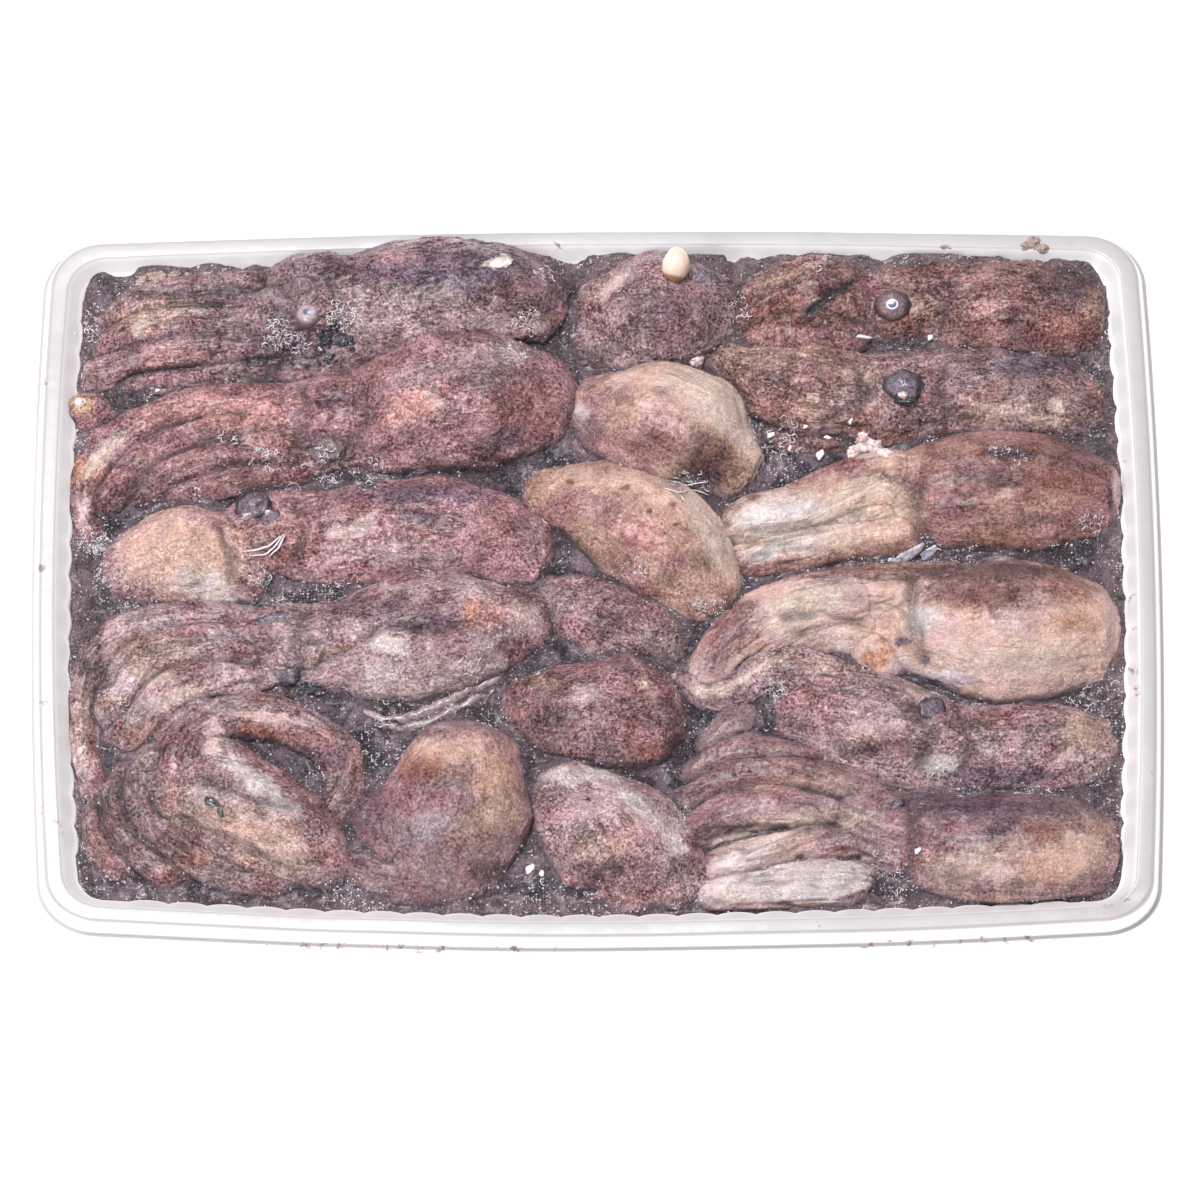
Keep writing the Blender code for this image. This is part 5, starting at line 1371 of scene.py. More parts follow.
# %% Paint a skin
def paint_skin(name):
    """Tones, ink with painted shade, and painted shade in grooves as attributes of the skin's vertices."""
    skin, middles = SKINS[name]
    grooves, flow = SHAPED[name]
    seed = 100 * ANIMALS.index(name) + 50
    points, normals = get_points(skin.data), get_normals(skin.data)
    plan = plan_of(points)
    first, second, marks = MARKS[name]
    lightness = LIGHTNESS[name]
    drift = ramp(layered_noise(points / 10, seed, 3, 0.6), -0.35, 0.35)[:, None]
    tones = TONES[first] * (1 - drift) + TONES[second] * drift
    wander = np.stack([layered_noise(points / 3.5, seed + number, 3, 0.65) for number in (1, 2)], axis=1)
    for tone, across, away, half_width, half_depth, turn, strength, *edge in marks:
        reach = 1.1 if edge else 1.0
        offset = plan - (across, away) + wander * reach * min(3.0, 0.9 * min(half_width, half_depth))
        cos, sin = math.cos(math.radians(turn)), math.sin(math.radians(turn))
        ellipse = np.hypot((offset[:, 0] * cos + offset[:, 1] * sin) / half_width,
                           (offset[:, 1] * cos - offset[:, 0] * sin) / half_depth)
        share = strength * (1 - (ramp(ellipse, 0.86, 1.04) if edge else ramp(ellipse, 0.35, 1.35)))
        tones = tones * (1 - share[:, None]) + TONES[tone] * share[:, None]
    # painted shade: flesh that lies below its surroundings (crevices and clefts) and steep flanks are
    # darkened, on top of the real ink stain where the flesh sinks under the ice
    column, row = map_cell(points)
    crevice = ramp(surroundings[column, row] - points[:, 2], 1.0, 7.0)
    cleft = ramp(near_surroundings[column, row] - points[:, 2], 0.8, 3.6)
    sinking = 1 - ramp(points[:, 2] + 1.2 * wander[:, 0], ICE_LEVEL - 1.0, ICE_LEVEL + 2.2)
    steep = 1 - ramp(normals[:, 2], 0.05, 0.75)
    ink = np.maximum(crevice * 0.85, cleft * 0.95) + 0.55 * sinking * (0.5 + 0.5 * steep) + 0.24 * steep
    tones = tones * lightness
    tones /= np.maximum(tones.max(axis=1, keepdims=True) / 0.92, 1.0)
    middle = tones.mean(axis=1, keepdims=True)
    tones = middle + (tones - middle) * (1.10 - 0.24 * ramp(middle, 0.20, 0.60))
    set_colour(skin.data, "tone", tones)
    set_value(skin.data, "ink", np.clip(ink, 0, 1))
    set_value(skin.data, "groove_shade", np.clip(grooves, 0, 1))
    set_vector(skin.data, "flow", flow)
    skin.data.shade_smooth()
    finish_piece(skin, FLESH[SLOT_OF[name]], name)


for name in ANIMALS:
    paint_skin(name)

# %% [markdown]
# ## The ice
#
# Water and ink have frozen level between the animals. The ice is a fine grid
# cut to the outline of the tray: it is rough, rises a little where it meets
# flesh, as water does against a wall, and its edge is extruded down to the tray
# floor so that it is one closed block.

# %% Ice block
ICE_INSET = 9.9
ICE_CELLS = (300, 216)
ICE_EDGE = [(11.7, RIM - 9.0), (16.6, 3.9), (19.9, 1.5)]
flesh_cover = blur((heights > ICE_LEVEL + 0.8).astype(float), 1.6)
flesh_near = blur((heights > ICE_LEVEL + 0.8).astype(float), 4.0)


def ice_outline(points, inset):
    """Squeeze a rectangle of points onto the tray's bowed, round-cornered outline."""
    bow = BOW + BOW_GROWTH * inset
    u = points[:, 0] / np.abs(points[:, 0]).max()
    v = points[:, 1] / np.abs(points[:, 1]).max()
    half_x = HALF_LENGTH - inset - bow * v * v
    half_y = HALF_WIDTH - inset - bow * u * u
    placed = points.copy()
    placed[:, 0], placed[:, 1] = u * half_x, v * half_y
    radius = max(CORNER_RADIUS - CORNER_TIGHTENING * inset, LEAST_CORNER_RADIUS)
    over_x = np.abs(placed[:, 0]) - (half_x - radius)
    over_y = np.abs(placed[:, 1]) - (half_y - radius)
    corner = (over_x > 0) & (over_y > 0)
    over = np.hypot(over_x, over_y)
    share = np.where(corner & (over > radius), radius / np.maximum(over, 1e-9), 1.0)
    placed[:, 0] = np.where(corner, np.sign(u) * (half_x - radius + over_x * share), placed[:, 0])
    placed[:, 1] = np.where(corner, np.sign(v) * (half_y - radius + over_y * share), placed[:, 1])
    return placed


def make_ice():
    bpy.ops.object.select_all(action="DESELECT")
    bpy.ops.mesh.primitive_grid_add(x_subdivisions=ICE_CELLS[0], y_subdivisions=ICE_CELLS[1], size=0.2)
    ice = bpy.context.object
    ice.name = ice.data.name = "ice_block"
    flat = get_points(ice.data)
    bpy.ops.object.mode_set(mode="EDIT")
    bpy.ops.mesh.select_mode(type="EDGE")
    bpy.ops.mesh.select_all(action="DESELECT")
    for inset, height in ICE_EDGE:
        mesh = bmesh.from_edit_mesh(ice.data)
        for edge in mesh.edges:
            edge.select_set(len(edge.link_faces) == 1)
        bpy.ops.mesh.extrude_edges_move(TRANSFORM_OT_translate={"value": (0.0, 0.0, -0.01)})
    bpy.ops.mesh.edge_face_add()
    bpy.ops.mesh.select_all(action="SELECT")
    bpy.ops.mesh.normals_make_consistent(inside=False)
    bpy.ops.mesh.select_mode(type="VERT")
    bpy.ops.object.mode_set(mode="OBJECT")
    points = get_points(ice.data)
    level = points[:, 2].copy()
    top = level > -5
    placed = ice_outline(points, ICE_INSET)
    for row, (inset, height) in enumerate(ICE_EDGE):
        ring = np.abs(level + 10 * (row + 1)) < 1
        lower = ice_outline(points, inset)
        placed[ring] = lower[ring]
        placed[ring, 2] = height
    column, cell = map_cell(placed)
    rough = 0.9 * layered_noise(placed / 7, 901, 2) + 0.4 * noise(placed / 1.9, 903)
    rough += 0.2 * noise(placed / 0.9, 904)
    surface = ICE_LEVEL - 1.6 + 2.4 * flesh_cover[column, cell] + rough
    at_back = ramp(placed[:, 1], HALF_WIDTH - 24, HALF_WIDTH - 12)
    at_side = ramp(np.abs(placed[:, 0]), HALF_LENGTH - 18, HALF_LENGTH - 11)
    surface += np.maximum((2.6 + 1.2 * noise(placed / 6, 907)) * at_back, 1.2 * at_side)
    placed[top, 2] = np.minimum(surface, RIM + 0.8)[top]
    # high ice leans over the ledge at the back, and low ice stays inside the sloping wall
    leaning = 1.4 * at_back * ramp(placed[:, 2], RIM - 4.5, RIM - 2.0)
    at_end = ramp(np.abs(placed[:, 1]), HALF_WIDTH - 24, HALF_WIDTH - 12)
    sloping = 0.27 * np.maximum(RIM - 3.5 - placed[:, 2], 0.0)
    placed[top, 0] -= (sloping * at_side * np.sign(placed[:, 0]))[top]
    placed[top, 1] += (leaning - sloping * at_end * np.sign(placed[:, 1]))[top]
    placed = settle(placed)
    set_points(ice.data, placed)
    beyond = np.abs(placed[:, :2]) - (HALF_LENGTH, HALF_WIDTH) + 20
    edge_near = ramp(beyond.max(axis=1), 0, 9)
    by_flesh = ramp(flesh_near[column, cell], 0.30, 0.75)
    milky = 0.7 * edge_near + 0.3 * by_flesh + 0.4 * ramp(layered_noise(placed / 14, 905, 3), 0.0, 0.6)
    set_value(ice.data, "milky", np.clip(milky, 0, 1))
    ice.data.shade_smooth()
    finish_piece(ice, ICE_LOOK, "ink_ice")
    return ice


ice = make_ice()

# %% [markdown]
# ## The grain of roe
#
# One grain of roe was left on the second animal: a cream oval, a little
# narrower at its upper end, browned underneath. A sphere is scaled in edit mode
# and smoothed, and its browning is kept as an attribute.

# %% Roe
def make_roe_look():
    look, tree, shader, place = new_look("roe")
    brown = tree.attribute("brown")
    mottle = tree.group("mottle", {"Vector": place, "Blotch scale": 420.0, "Grain scale": 2600.0,
                                   "Blotch strength": 0.10, "Grain strength": 0.06})
    ragged = tree.plus(brown, tree.times(tree.minus(mottle["Height"], 0.75), 0.5))
    colour = tree.mix(tree.spread(ragged, 0.35, 0.8), (0.70, 0.545, 0.45, 1.0), (0.33, 0.17, 0.085, 1.0))
    light = mottle["Light"]
    shade = tree.combine(light, light, light)
    colour = tree.mix(1.0, colour, shade, "MULTIPLY")
    rough = tree.spread(mottle["Height"], 0.4, 1.1, 0.45, 0.28)
    bump = tree.bump(mottle["Height"], 0.3, 0.0002)
    tree.fill(shader, {"Base Color": colour, "Roughness": rough, "Normal": bump, "Coat Weight": 0.2,
                       "Subsurface Weight": 0.15, "Subsurface Radius": (0.002, 0.0012, 0.0008)})
    return look


EGG_LOW, EGG_HIGH = (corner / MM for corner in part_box("egg"))
EGG_CENTRE = (EGG_LOW + EGG_HIGH) / 2 + Vector((0.8, 0.0, 0.0))
EGG_SIZE = (7.6, 9.6, 7.4)


def make_egg():
    bpy.ops.object.select_all(action="DESELECT")
    bpy.ops.mesh.primitive_uv_sphere_add(segments=32, ring_count=20, radius=0.5)
    egg = bpy.context.object
    egg.name = egg.data.name = "roe_grain"
    points = get_points(egg.data) * MM
    taper = 1.0 - 0.10 * ramp(points[:, 1], -0.1, 0.5)
    points *= np.c_[taper, np.ones(len(points)), taper] * EGG_SIZE
    points[:, 0] += 0.25 * np.sin(points[:, 1] / 2.4)
    brown = ramp(-points[:, 1] - 0.25 * points[:, 0], 1.3, 4.4)
    cos, sin = math.cos(math.radians(28)), math.sin(math.radians(28))
    x, y, z = points.T
    tilted = np.c_[x, y * cos - z * sin, y * sin + z * cos]
    set_points(egg.data, tilted + np.array(EGG_CENTRE))
    set_value(egg.data, "brown", brown)
    apply_modifier(egg, "SUBSURF", levels=1, render_levels=1)
    egg.data.shade_smooth()
    finish_piece(egg, make_roe_look(), "egg")


make_egg()

# %% [markdown]
# ## Small things on top
#
# Eyes, scraps of skin, clots of ink and splinters of ice lie on the animals,
# and brown crumbs on the tray's lip. A ray along the line of sight finds the
# surface under a place on the slanted plan, and the way that the surface faces
# there.

# %% Find the surface
bpy.context.view_layer.update()
DEPSGRAPH = bpy.context.evaluated_depsgraph_get()


def land(across, away):
    """Place in mm and facing of the first surface under a plan place."""
    start = Vector((across, away - PLAN_SHIFT, PLAN_HEIGHT)) * MM - SIGHT * 0.08
    hit, place, facing, face, thing, matrix = bpy.context.scene.ray_cast(DEPSGRAPH, start, SIGHT)
    return np.array(place) / MM, np.array(facing)


def facing_axes(facing, turn):
    """Three axes of a small thing: two along the surface, turned by some degrees, and one out of it."""
    out = Vector(facing).normalized()
    side = Vector((1.0, 0.0, 0.0)).cross(out).normalized()
    first = side.cross(out) * -1
    angle = math.radians(turn)
    along = first * math.cos(angle) + side * -math.sin(angle)
    return np.array([along, out.cross(along), out])


# %% [markdown]
# ## Eyes
#
# An octopus's eye is a glassy bead under a thin lid. Frozen, it shows as a dark
# bulging dome. One eye shows a white ring round its pupil, and another is pale
# with a darker ring. Each dome is a sphere pressed flat, roughened with noise
# and set into the skin. It keeps an attribute "ring", the distance from the
# middle of the eye, which the material uses for the pupil and its ring.


# %% Domes
def make_dome(place, axes, size, seed, rough):
    """A rough dome: size is half width, half depth and height, in mm along its axes."""
    bpy.ops.object.select_all(action="DESELECT")
    bpy.ops.mesh.primitive_uv_sphere_add(segments=40, ring_count=24, radius=MM)
    dome = bpy.context.object
    ball = get_points(dome.data)
    ring = np.where(ball[:, 2] > 0, np.hypot(ball[:, 0], ball[:, 1]), 1.0)
    swell = 1 + rough * layered_noise(ball * 2.2 + seed, seed, 3)
    ball *= swell[:, None]
    set_points(dome.data, place + (ball * size) @ axes)
    set_value(dome.data, "ring", ring)
    dome.data.shade_smooth()
    return dome


def make_domes(name, rows, look):
    """Several domes as one piece: across, away, half width, half depth, height, turn, roughness."""
    domes = []
    for number, (across, away, wide, deep, high, turn, rough) in enumerate(rows):
        place, facing = land(across, away)
        facing = facing * 0.5 - np.array(SIGHT) * 0.5
        domes.append(make_dome(place - facing * high * 0.35, facing_axes(facing, turn), (wide, deep, high),
                               700 + 13 * number, rough))
    finish_piece(join(domes, name), look)


# %% Looks of the eyes and of other wet bits
def make_bit_look(name, dark, pale, roughness, coat, scale=700.0):
    """Wet speckled stuff between two colours, with a coat of melt water."""
    look, tree, shader, place = new_look(name)
    mottle = tree.group("mottle", {"Vector": place, "Blotch scale": scale, "Grain scale": scale * 3,
                                   "Blotch strength": 0.4, "Grain strength": 0.4})
    colour = tree.mix(tree.spread(mottle["Height"], 0.55, 0.95), (*dark, 1.0), (*pale, 1.0))
    rough = tree.spread(mottle["Height"], 0.5, 1.0, roughness + 0.1, roughness)
    tree.fill(shader, {"Base Color": colour, "Roughness": rough, "Coat Weight": coat, "Coat Roughness": 0.12,
                       "Normal": tree.bump(mottle["Height"], 0.6, 0.0004)})
    return look, tree, colour, shader


def make_ringed_eye_look(name, dark, pale, edge, ring_colour, pupil_colour):
    """A glassy bead: an iris between two colours, a ring round the pupil, and a darker edge."""
    look, tree, colour, shader = make_bit_look(name, dark, pale, 0.2, 0.6)
    ring = tree.attribute("ring")
    rim = tree.spread(ring, 0.55, 0.95)
    colour = tree.mix(tree.times(rim, 0.8), colour, (*edge, 1.0))
    white = tree.spread(tree.gap(ring, 0.27), 0.02, 0.06, 1.0, 0.0)
    colour = tree.mix(white, colour, (*ring_colour, 1.0))
    pupil = tree.spread(ring, 0.20, 0.26, 1.0, 0.0)
    colour = tree.mix(pupil, colour, (*pupil_colour, 1.0))
    tree.fill(shader, {"Base Color": colour})
    return look


def make_dark_eye_look():
    look, tree, colour, shader = make_bit_look("dark_eye", (0.022, 0.014, 0.026), (0.20, 0.150, 0.190),
                                               0.36, 0.2, 620.0)
    ring = tree.attribute("ring")
    colour = tree.mix(tree.times(tree.spread(ring, 0.6, 1.0), 0.8), colour, (0.012, 0.009, 0.016, 1.0))
    tree.fill(shader, {"Base Color": colour})
    return look


RINGED_EYE = make_ringed_eye_look("ringed_eye", (0.040, 0.022, 0.036), (0.26, 0.15, 0.16),
                                  (0.020, 0.013, 0.022), (0.74, 0.70, 0.76), (0.085, 0.085, 0.13))
PALE_EYE = make_ringed_eye_look("pale_eye", (0.26, 0.18, 0.22), (0.52, 0.42, 0.47), (0.090, 0.065, 0.085),
                                (0.20, 0.17, 0.24), (0.075, 0.085, 0.14))
DARK_EYE = make_dark_eye_look()
LIDDED_EYE = make_bit_look("lidded_eye", (0.045, 0.028, 0.036), (0.21, 0.130, 0.142), 0.42, 0.1, 640.0)[0]
CLOT_LOOK = make_bit_look("ink_clot", (0.004, 0.004, 0.008), (0.020, 0.022, 0.042), 0.12, 0.9)[0]
PALE_BIT = make_bit_look("pale_tissue", (0.40, 0.25, 0.25), (0.84, 0.70, 0.70), 0.3, 0.3, 480.0)[0]
make_domes("eyes_ringed", [(79.8, 84.0, 5.0, 4.6, 3.0, 0, 0.10)], RINGED_EYE)
make_domes("eyes_pale", [(-76.8, 82.6, 3.6, 3.4, 3.0, 0, 0.06)], PALE_EYE)
make_domes("eyes_dark", [
    (82.3, 59, 5.3, 4.8, 3.0, 0, 0.3), (-91.5, 24.5, 5.0, 4.6, 2.8, 20, 0.34),
    (-86.5, 21.5, 3.2, 2.4, 1.4, -30, 0.4), (-86, -9.5, 4.8, 1.9, 0.8, 12, 0.4),
    (-82.5, -26, 4.2, 3.0, 1.0, 0, 0.4), (88.5, -38, 3.8, 3.4, 1.0, 35, 0.35),
    (78.6, -66.5, 1.6, 2.6, 0.9, -35, 0.35)], DARK_EYE)
make_domes("eyes_lidded", [
    (-79, 90, 4.4, 3.6, 1.6, 10, 0.35), (-72, 42, 5.0, 3.6, 1.3, 0, 0.4),
    (-67.5, 40.5, 2.8, 2.0, 0.9, 0, 0.4)],
    LIDDED_EYE)
draw = random.Random(5)
CLOTS = [(-70.5 + draw.gauss(0, 2.6), 74 + draw.gauss(0, 2.0), draw.uniform(0.6, 1.7), draw.uniform(0.5, 1.3),
          draw.uniform(0.4, 1.1), draw.uniform(0, 180), 0.45) for number in range(26)]
CLOTS += [(-76 + draw.gauss(0, 2.4), -31 + draw.gauss(0, 1.0), draw.uniform(0.6, 1.8), draw.uniform(0.4, 0.9),
           draw.uniform(0.3, 0.7), draw.uniform(-30, 30), 0.45) for number in range(9)]
CLOTS += [(-101.5, -64.0, 2.6, 1.2, 0.7, -30, 0.35), (-99.5, -67.0, 1.3, 0.7, 0.5, -60, 0.35),
          (82.5, 55.0, 3.0, 0.8, 0.9, 8, 0.3), (-131, 21, 1.8, 1.2, 0.8, 40, 0.4),
          (-61, 30.5, 2.2, 0.8, 0.6, 0, 0.4)]
make_domes("ink_clots", CLOTS, CLOT_LOOK)
make_domes("pale_lumps", [
    (82.2, 56.6, 1.4, 1.1, 2.0, 0, 0.35), (-93, 21.6, 1.4, 1.0, 2.0, 20, 0.4),
    (-87.5, 22.8, 0.9, 0.7, 0.8, 0, 0.4), (73, 41.5, 4.2, 3.2, 2.4, 0, 0.34),
    (76.8, 39.0, 3.0, 1.8, 1.4, -20, 0.36), (69, 39.5, 2.2, 1.8, 1.2, 40, 0.36),
    (71.5, 44.0, 2.0, 1.5, 1.2, 10, 0.36), (27, 67.5, 2.2, 1.8, 1.2, 0, 0.4),
    (-26.2, 97.4, 4.4, 1.6, 0.6, 14, 0.2), (-137.5, 56.5, 1.6, 1.5, 1.2, 0, 0.3)],
    PALE_BIT)

make_domes("crumbs", [
    (117.8, 102.8, 2.3, 1.8, 1.3, 20, 0.45), (120.4, 101.4, 1.7, 1.2, 1.0, 0, 0.45),
    (115.6, 102.0, 1.2, 1.0, 0.8, 0, 0.45), (-117.5, 94.6, 2.8, 1.7, 1.2, 0, 0.5),
    (-113, 95.4, 2.0, 1.1, 0.9, 20, 0.5), (-121.5, 93.6, 2.0, 1.1, 0.8, 40, 0.5),
    (-109, 95.2, 1.4, 0.7, 0.6, 0, 0.5), (-104, 95.6, 1.6, 0.6, 0.6, 0, 0.5)],
    make_bit_look("crumb", (0.15, 0.095, 0.078), (0.50, 0.385, 0.335), 0.5, 0.05, 560.0)[0])

# %% [markdown]
# ## Threads and torn skin
#
# A few white threads lie on the skins, and folded membranes cross the valleys.
# Each is a tube along a path that is laid on the surface point by point; the
# membranes are thicker and half sunk into it.


# %% Threads
def lay_thread(name, path, radius, lift):
    """A thread of some radius in mm along plan places, just over the surface."""
    knots = []
    for (x_1, y_1), (x_2, y_2) in zip(path, path[1:]):
        steps = max(2, int(math.hypot(x_2 - x_1, y_2 - y_1) / 1.5))
        knots += [(x_1 + (x_2 - x_1) * step / steps, y_1 + (y_2 - y_1) * step / steps)
                  for step in range(steps)]
    knots.append(path[-1])
    bpy.ops.object.select_all(action="DESELECT")
    bpy.ops.curve.primitive_bezier_curve_add()
    thread = bpy.context.object
    curve = thread.data
    curve.bevel_depth = MM
    curve.bevel_resolution = 1
    curve.resolution_u = 2
    curve.use_fill_caps = True
    curve.splines[0].bezier_points.add(len(knots) - 2)
    for number, (point, knot) in enumerate(zip(curve.splines[0].bezier_points, knots)):
        place, facing = land(*knot)
        point.co = Vector(place + facing * lift) * MM
        taper = math.sin(math.pi * (number + 0.6) / (len(knots) + 0.2)) ** 0.5
        point.radius = radius * taper
        point.handle_left_type = point.handle_right_type = "AUTO"
    bpy.ops.object.convert(target="MESH")
    thread.name = name
    thread.data.shade_smooth()
    return thread


def lay_threads(name, rows, look, lift=0.2):
    threads = [lay_thread(f"{name}_{number}", path, radius, lift)
               for number, (radius, path) in enumerate(rows)]
    finish_piece(join(threads, name), look)


FROST_WHITE = make_bit_look("frost_white", (0.62, 0.56, 0.60), (0.93, 0.90, 0.94), 0.18, 0.5, 1400.0)[0]
MEMBRANE = make_bit_look("membrane", (0.13, 0.095, 0.105), (0.36, 0.27, 0.28), 0.3, 0.3, 330.0)[0]
lay_threads("white_threads", [
    (0.30, [(-94, 10.8), (-90.5, 11.3), (-87, 12.6), (-84, 15.5)]),
    (0.26, [(-92, 9.5), (-88, 10), (-85.4, 12.5), (-83.2, 16)]),
    (0.28, [(-87, 9.5), (-84.5, 12), (-83, 15.5)]), (0.22, [(18, 29), (22, 27.5), (26, 28.5), (30, 27)]),
    (0.20, [(20, 31), (24, 30), (29, 31)])],
    FROST_WHITE)
lay_threads("membranes", [
    (1.9, [(-68, -33), (-63, -36.5), (-57, -39.5), (-50, -39), (-43, -36), (-36, -32.5), (-28, -28.5),
           (-20, -23)]),
    (1.6, [(-65, -36.5), (-59, -40.5), (-52, -42.5), (-45, -40.5), (-38, -36.5), (-30, -33), (-22, -27.5)]),
    (1.2, [(-39, -32), (-38.4, -36), (-36.5, -40), (-35, -43)]), (1.3, [(-72, -30), (-69, -27), (-63, -29)]),
    (1.0, [(-86, 61.5), (-78, 62), (-70, 63.8), (-62, 62)]), (1.2, [(-30, -22), (-24, -19), (-16, -20)])],
    MEMBRANE, -1.1)

# %% [markdown]
# ## Frost curls, ice grains and splinters
#
# Everything that was wet is now sprinkled with ice. Most of it is grains finer
# than a grain of rice, which lie in the hollows; round the eyes and gills it
# has grown into little white curls. One grain and one curl are modelled once,
# then thousands of copies are turned and scaled and written as a single mesh.


# %% One grain and one curl
GRAINS = 7500
STRAY_CURLS = 1300
SCATTER_FLATNESS = 0.7


def shape_of(thing):
    """Vertices in mm and triangles of a small thing, which is then removed."""
    activate(thing)
    bpy.ops.object.mode_set(mode="EDIT")
    bpy.ops.mesh.select_all(action="SELECT")
    bpy.ops.mesh.quads_convert_to_tris()
    bpy.ops.object.mode_set(mode="OBJECT")
    points = get_points(thing.data)
    faces = np.array([face.vertices[:] for face in thing.data.polygons])
    bpy.data.objects.remove(thing)
    return points, faces


def make_grain_shape():
    """A splinter of ice: a cube drawn to an uneven, six-sided chip."""
    bpy.ops.object.select_all(action="DESELECT")
    bpy.ops.mesh.primitive_cube_add(size=MM)
    grain = bpy.context.object
    points = get_points(grain.data)
    points[:, 0] *= 1.0 + 0.5 * points[:, 2]
    points[:, 1] *= 0.8 - 0.4 * points[:, 0]
    points[:, 2] += 0.25 * points[:, 0] * points[:, 1]
    set_points(grain.data, points)
    return shape_of(grain)


def make_curl_shape():
    """A hooked thread of frost, three-sided to keep it light."""
    bpy.ops.object.select_all(action="DESELECT")
    bpy.ops.mesh.primitive_circle_add(vertices=3, radius=0.12 * MM, fill_type="NGON",
                                      rotation=(math.pi / 2, 0, 0), location=(0.5 * MM, 0, 0))
    curl = bpy.context.object
    bpy.ops.object.transform_apply(location=True, rotation=True)
    bpy.ops.object.mode_set(mode="EDIT")
    bpy.ops.mesh.select_all(action="SELECT")
    bpy.ops.mesh.spin(steps=6, angle=math.radians(200), center=(0, 0, 0), axis=(0, 0, 1))
    bpy.ops.mesh.select_all(action="SELECT")
    bpy.ops.mesh.normals_make_consistent(inside=False)
    bpy.ops.object.mode_set(mode="OBJECT")
    return shape_of(curl)


def scatter(name, shape, places, facings, sizes, seed, look):
    """Many copies of a small shape on a surface, each turned at random, as one mesh."""
    draw = np.random.default_rng(seed)
    points, faces = shape
    count = len(places)
    out = facings / np.linalg.norm(facings, axis=1)[:, None]
    out = out + draw.normal(0, 0.25, (count, 3))
    out /= np.linalg.norm(out, axis=1)[:, None]
    side = np.cross(draw.normal(0, 1, (count, 3)), out)
    side /= np.linalg.norm(side, axis=1)[:, None]
    axes = np.stack([side, np.cross(out, side), out], axis=1)
    scale = sizes[:, None] * draw.uniform(0.6, 1.4, (count, 3)) * (1.0, 1.0, SCATTER_FLATNESS)
    local = points[None] * scale[:, None, :]
    placed = np.einsum("nvi,nij->nvj", local, axes) + places[:, None, :]
    mesh = bpy.data.meshes.new(name)
    shifts = np.arange(count)[:, None, None] * len(points)
    mesh.vertices.add(count * len(points))
    set_points(mesh, placed.reshape(-1, 3))
    corners = (faces[None] + shifts).reshape(-1)
    mesh.loops.add(len(corners))
    mesh.loops.foreach_set("vertex_index", corners.astype(np.int32))
    mesh.polygons.add(len(corners) // 3)
    mesh.polygons.foreach_set("loop_start", np.arange(0, len(corners), 3, dtype=np.int32))
    mesh.update(calc_edges=True)
    mesh.validate()
    piece = bpy.data.objects.new(name, mesh)
    bpy.context.collection.objects.link(piece)
    finish_piece(piece, look)


# %% Where frost lies
def hollows():
    """Places in the hollows and on the bare ice, with facings and how much ink and painted shade each
    carries.
    """
    places, facings, inks = [], [], []
    for name in ANIMALS:
        mesh = SKINS[name][0].data
        points, normals = get_points(mesh), get_normals(mesh)
        ink = np.empty(len(points), np.float32)
        mesh.attributes["ink"].data.foreach_get("value", ink)
        column, row = map_cell(points)
        seen = (points[:, 2] > heights[column, row] - 1.2) & (points[:, 2] > ICE_LEVEL - 1.5) & (ink > 0.15)
        places.append(points[seen])
        facings.append(normals[seen])
        inks.append(ink[seen])
    points, normals = get_points(ice.data), get_normals(ice.data)
    column, row = map_cell(points)
    seen = (points[:, 2] > ICE_LEVEL - 4) & (points[:, 2] > heights[column, row] - 3.0)
    places.append(points[seen])
    facings.append(normals[seen])
    inks.append(np.full(seen.sum(), 0.8))
    return np.concatenate(places), np.concatenate(facings), np.concatenate(inks)


ICE_DUST = make_bit_look("ice_dust", (0.30, 0.25, 0.31), (0.82, 0.77, 0.82), 0.2, 0.4, 900.0)[0]
GRAIN, CURL = make_grain_shape(), make_curl_shape()
hollow_places, hollow_facings, hollow_inks = hollows()
draw = np.random.default_rng(11)
patches = ramp(layered_noise(hollow_places / 7, 950, 3), -0.15, 0.45)
chance = hollow_inks * (0.04 + patches**2)
chosen = draw.choice(len(hollow_places), GRAINS, replace=False, p=chance / chance.sum())
grain_sizes = 0.16 + 0.45 * draw.uniform(0, 1, GRAINS) ** 3
scatter("ice_grains", GRAIN, hollow_places[chosen], hollow_facings[chosen], grain_sizes, 12,
        ICE_DUST)
chosen = draw.choice(len(hollow_places), STRAY_CURLS, replace=False, p=chance**2 / (chance**2).sum())

# %% Clusters of curls
# across, away, radius and number of curls
CURL_CLUSTERS = [
    (-85, 77, 5, 90), (-67, 82, 5, 110), (-80, 74, 4, 60), (-88, 39, 4, 60), (-72, 37, 6, 110),
    (-60, 34, 5, 60), (-90, 4, 3.5, 50), (-128, -33, 4, 30), (-57, -27, 4, 40), (30, -7, 4, 40),
    (22, -68, 3, 30), (47, -32, 3.5, 40), (90, -55, 4, 50), (76, -84, 5, 50), (25, 30, 5, 60),
    (110, 39, 5, 40), (132, 18, 4, 40), (128, -33, 5, 50), (-34, -25, 4, 40), (-18, 80, 4, 60),
    (-22, 70, 4, 40), (-12, 96, 4, 40), (48, 44, 7, 80), (-98, 46, 3, 20), (-134, 15, 4, 60),
    (-130, 5, 4, 50), (10, 4, 4, 40), (60, 98, 4, 30), (38, 83, 4, 40), (-136, 80, 4, 40)]


def cluster_places():
    draw = np.random.default_rng(21)
    places, facings = [], []
    for across, away, radius, count in CURL_CLUSTERS:
        for number in range(count):
            angle, reach = draw.uniform(0, math.tau), radius * math.sqrt(draw.uniform(0, 1))
            place, facing = land(across + reach * math.cos(angle), away + reach * math.sin(angle))
            places.append(place)
            facings.append(facing)
    return np.array(places), np.array(facings)


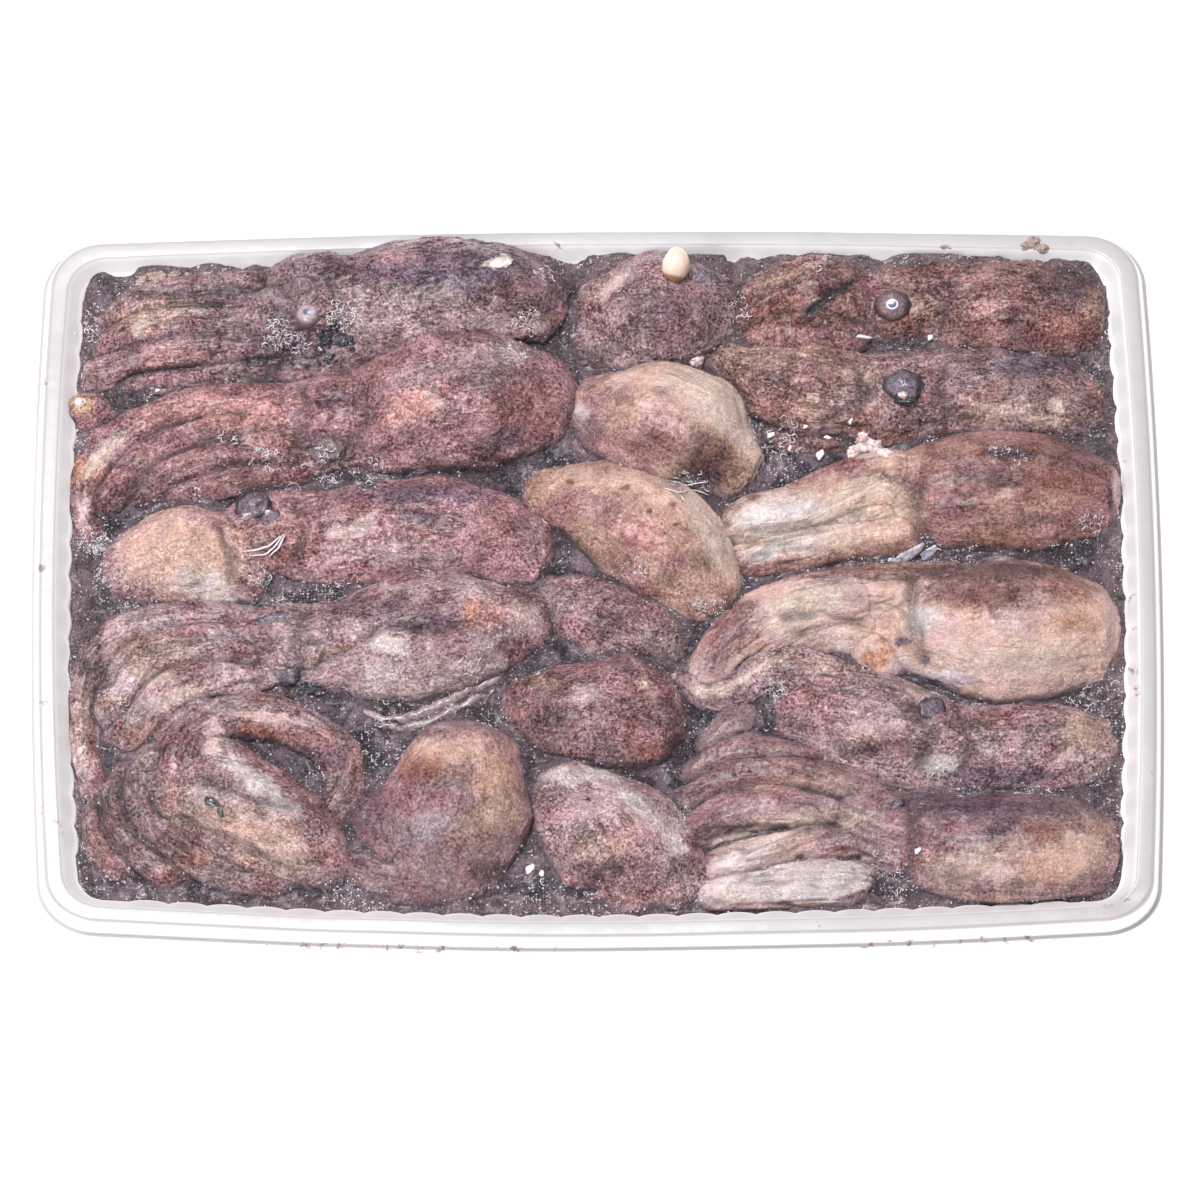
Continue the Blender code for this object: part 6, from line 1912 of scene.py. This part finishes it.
curl_places, curl_facings = cluster_places()
curl_places = np.concatenate([curl_places, hollow_places[chosen]])
curl_facings = np.concatenate([curl_facings, hollow_facings[chosen]])
scatter("frost_curls", CURL, curl_places, curl_facings, draw.uniform(0.45, 1.5, len(curl_places)), 22,
        FROST_WHITE)


# %% Splinters and chips
def make_chips(name, rows, look):
    """Single chips: across, away, length, width, thickness, turn."""
    chips = []
    for across, away, long, wide, thick, turn in rows:
        place, facing = land(across, away)
        bpy.ops.object.select_all(action="DESELECT")
        bpy.ops.mesh.primitive_cube_add(size=MM)
        chip = bpy.context.object
        bpy.ops.object.mode_set(mode="EDIT")
        bpy.ops.mesh.bevel(offset=0.16 * MM, segments=1)
        bpy.ops.object.mode_set(mode="OBJECT")
        points = get_points(chip.data)
        points[:, 0] += 0.25 * points[:, 1]
        points[:, 1] *= 1 - 0.5 * points[:, 0]
        points *= (long, wide, thick)
        set_points(chip.data, place + facing * thick * 0.3 + points @ facing_axes(facing, turn))
        chips.append(chip)
    finish_piece(join(chips, name), look)


make_chips("white_chips", [
    (72, 74.5, 4.2, 0.9, 0.7, 5), (90, 74.5, 1.5, 1.3, 0.9, 20), (60, 39, 2.4, 1.8, 1.2, 40),
    (-18, -84.5, 2.6, 1.8, 1.0, 30), (-15, -86, 1.6, 1.2, 0.8, 70), (47, 45, 2.0, 1.2, 0.8, 10),
    (52, 41, 1.5, 1.0, 0.7, 60), (62, 44, 1.8, 0.9, 0.7, -30), (56, 47.5, 1.2, 0.9, 0.6, 0),
    (68, 49, 1.6, 0.8, 0.6, 50), (84, -80, 1.8, 1.2, 0.8, 30), (-117, 60, 1.2, 0.8, 0.6, 0)],
    FROST_WHITE)
SPLINTER_LOOK = make_bit_look("clear_splinter", (0.24, 0.22, 0.30), (0.70, 0.68, 0.76), 0.08, 0.9, 300.0)[0]
make_chips("ice_splinters", [(83, 8.6, 8.5, 2.6, 1.0, 24), (88.5, 9.2, 6.5, 2.2, 0.9, 32),
                             (79, 6.5, 3.5, 1.4, 0.8, 10)],
           SPLINTER_LOOK)
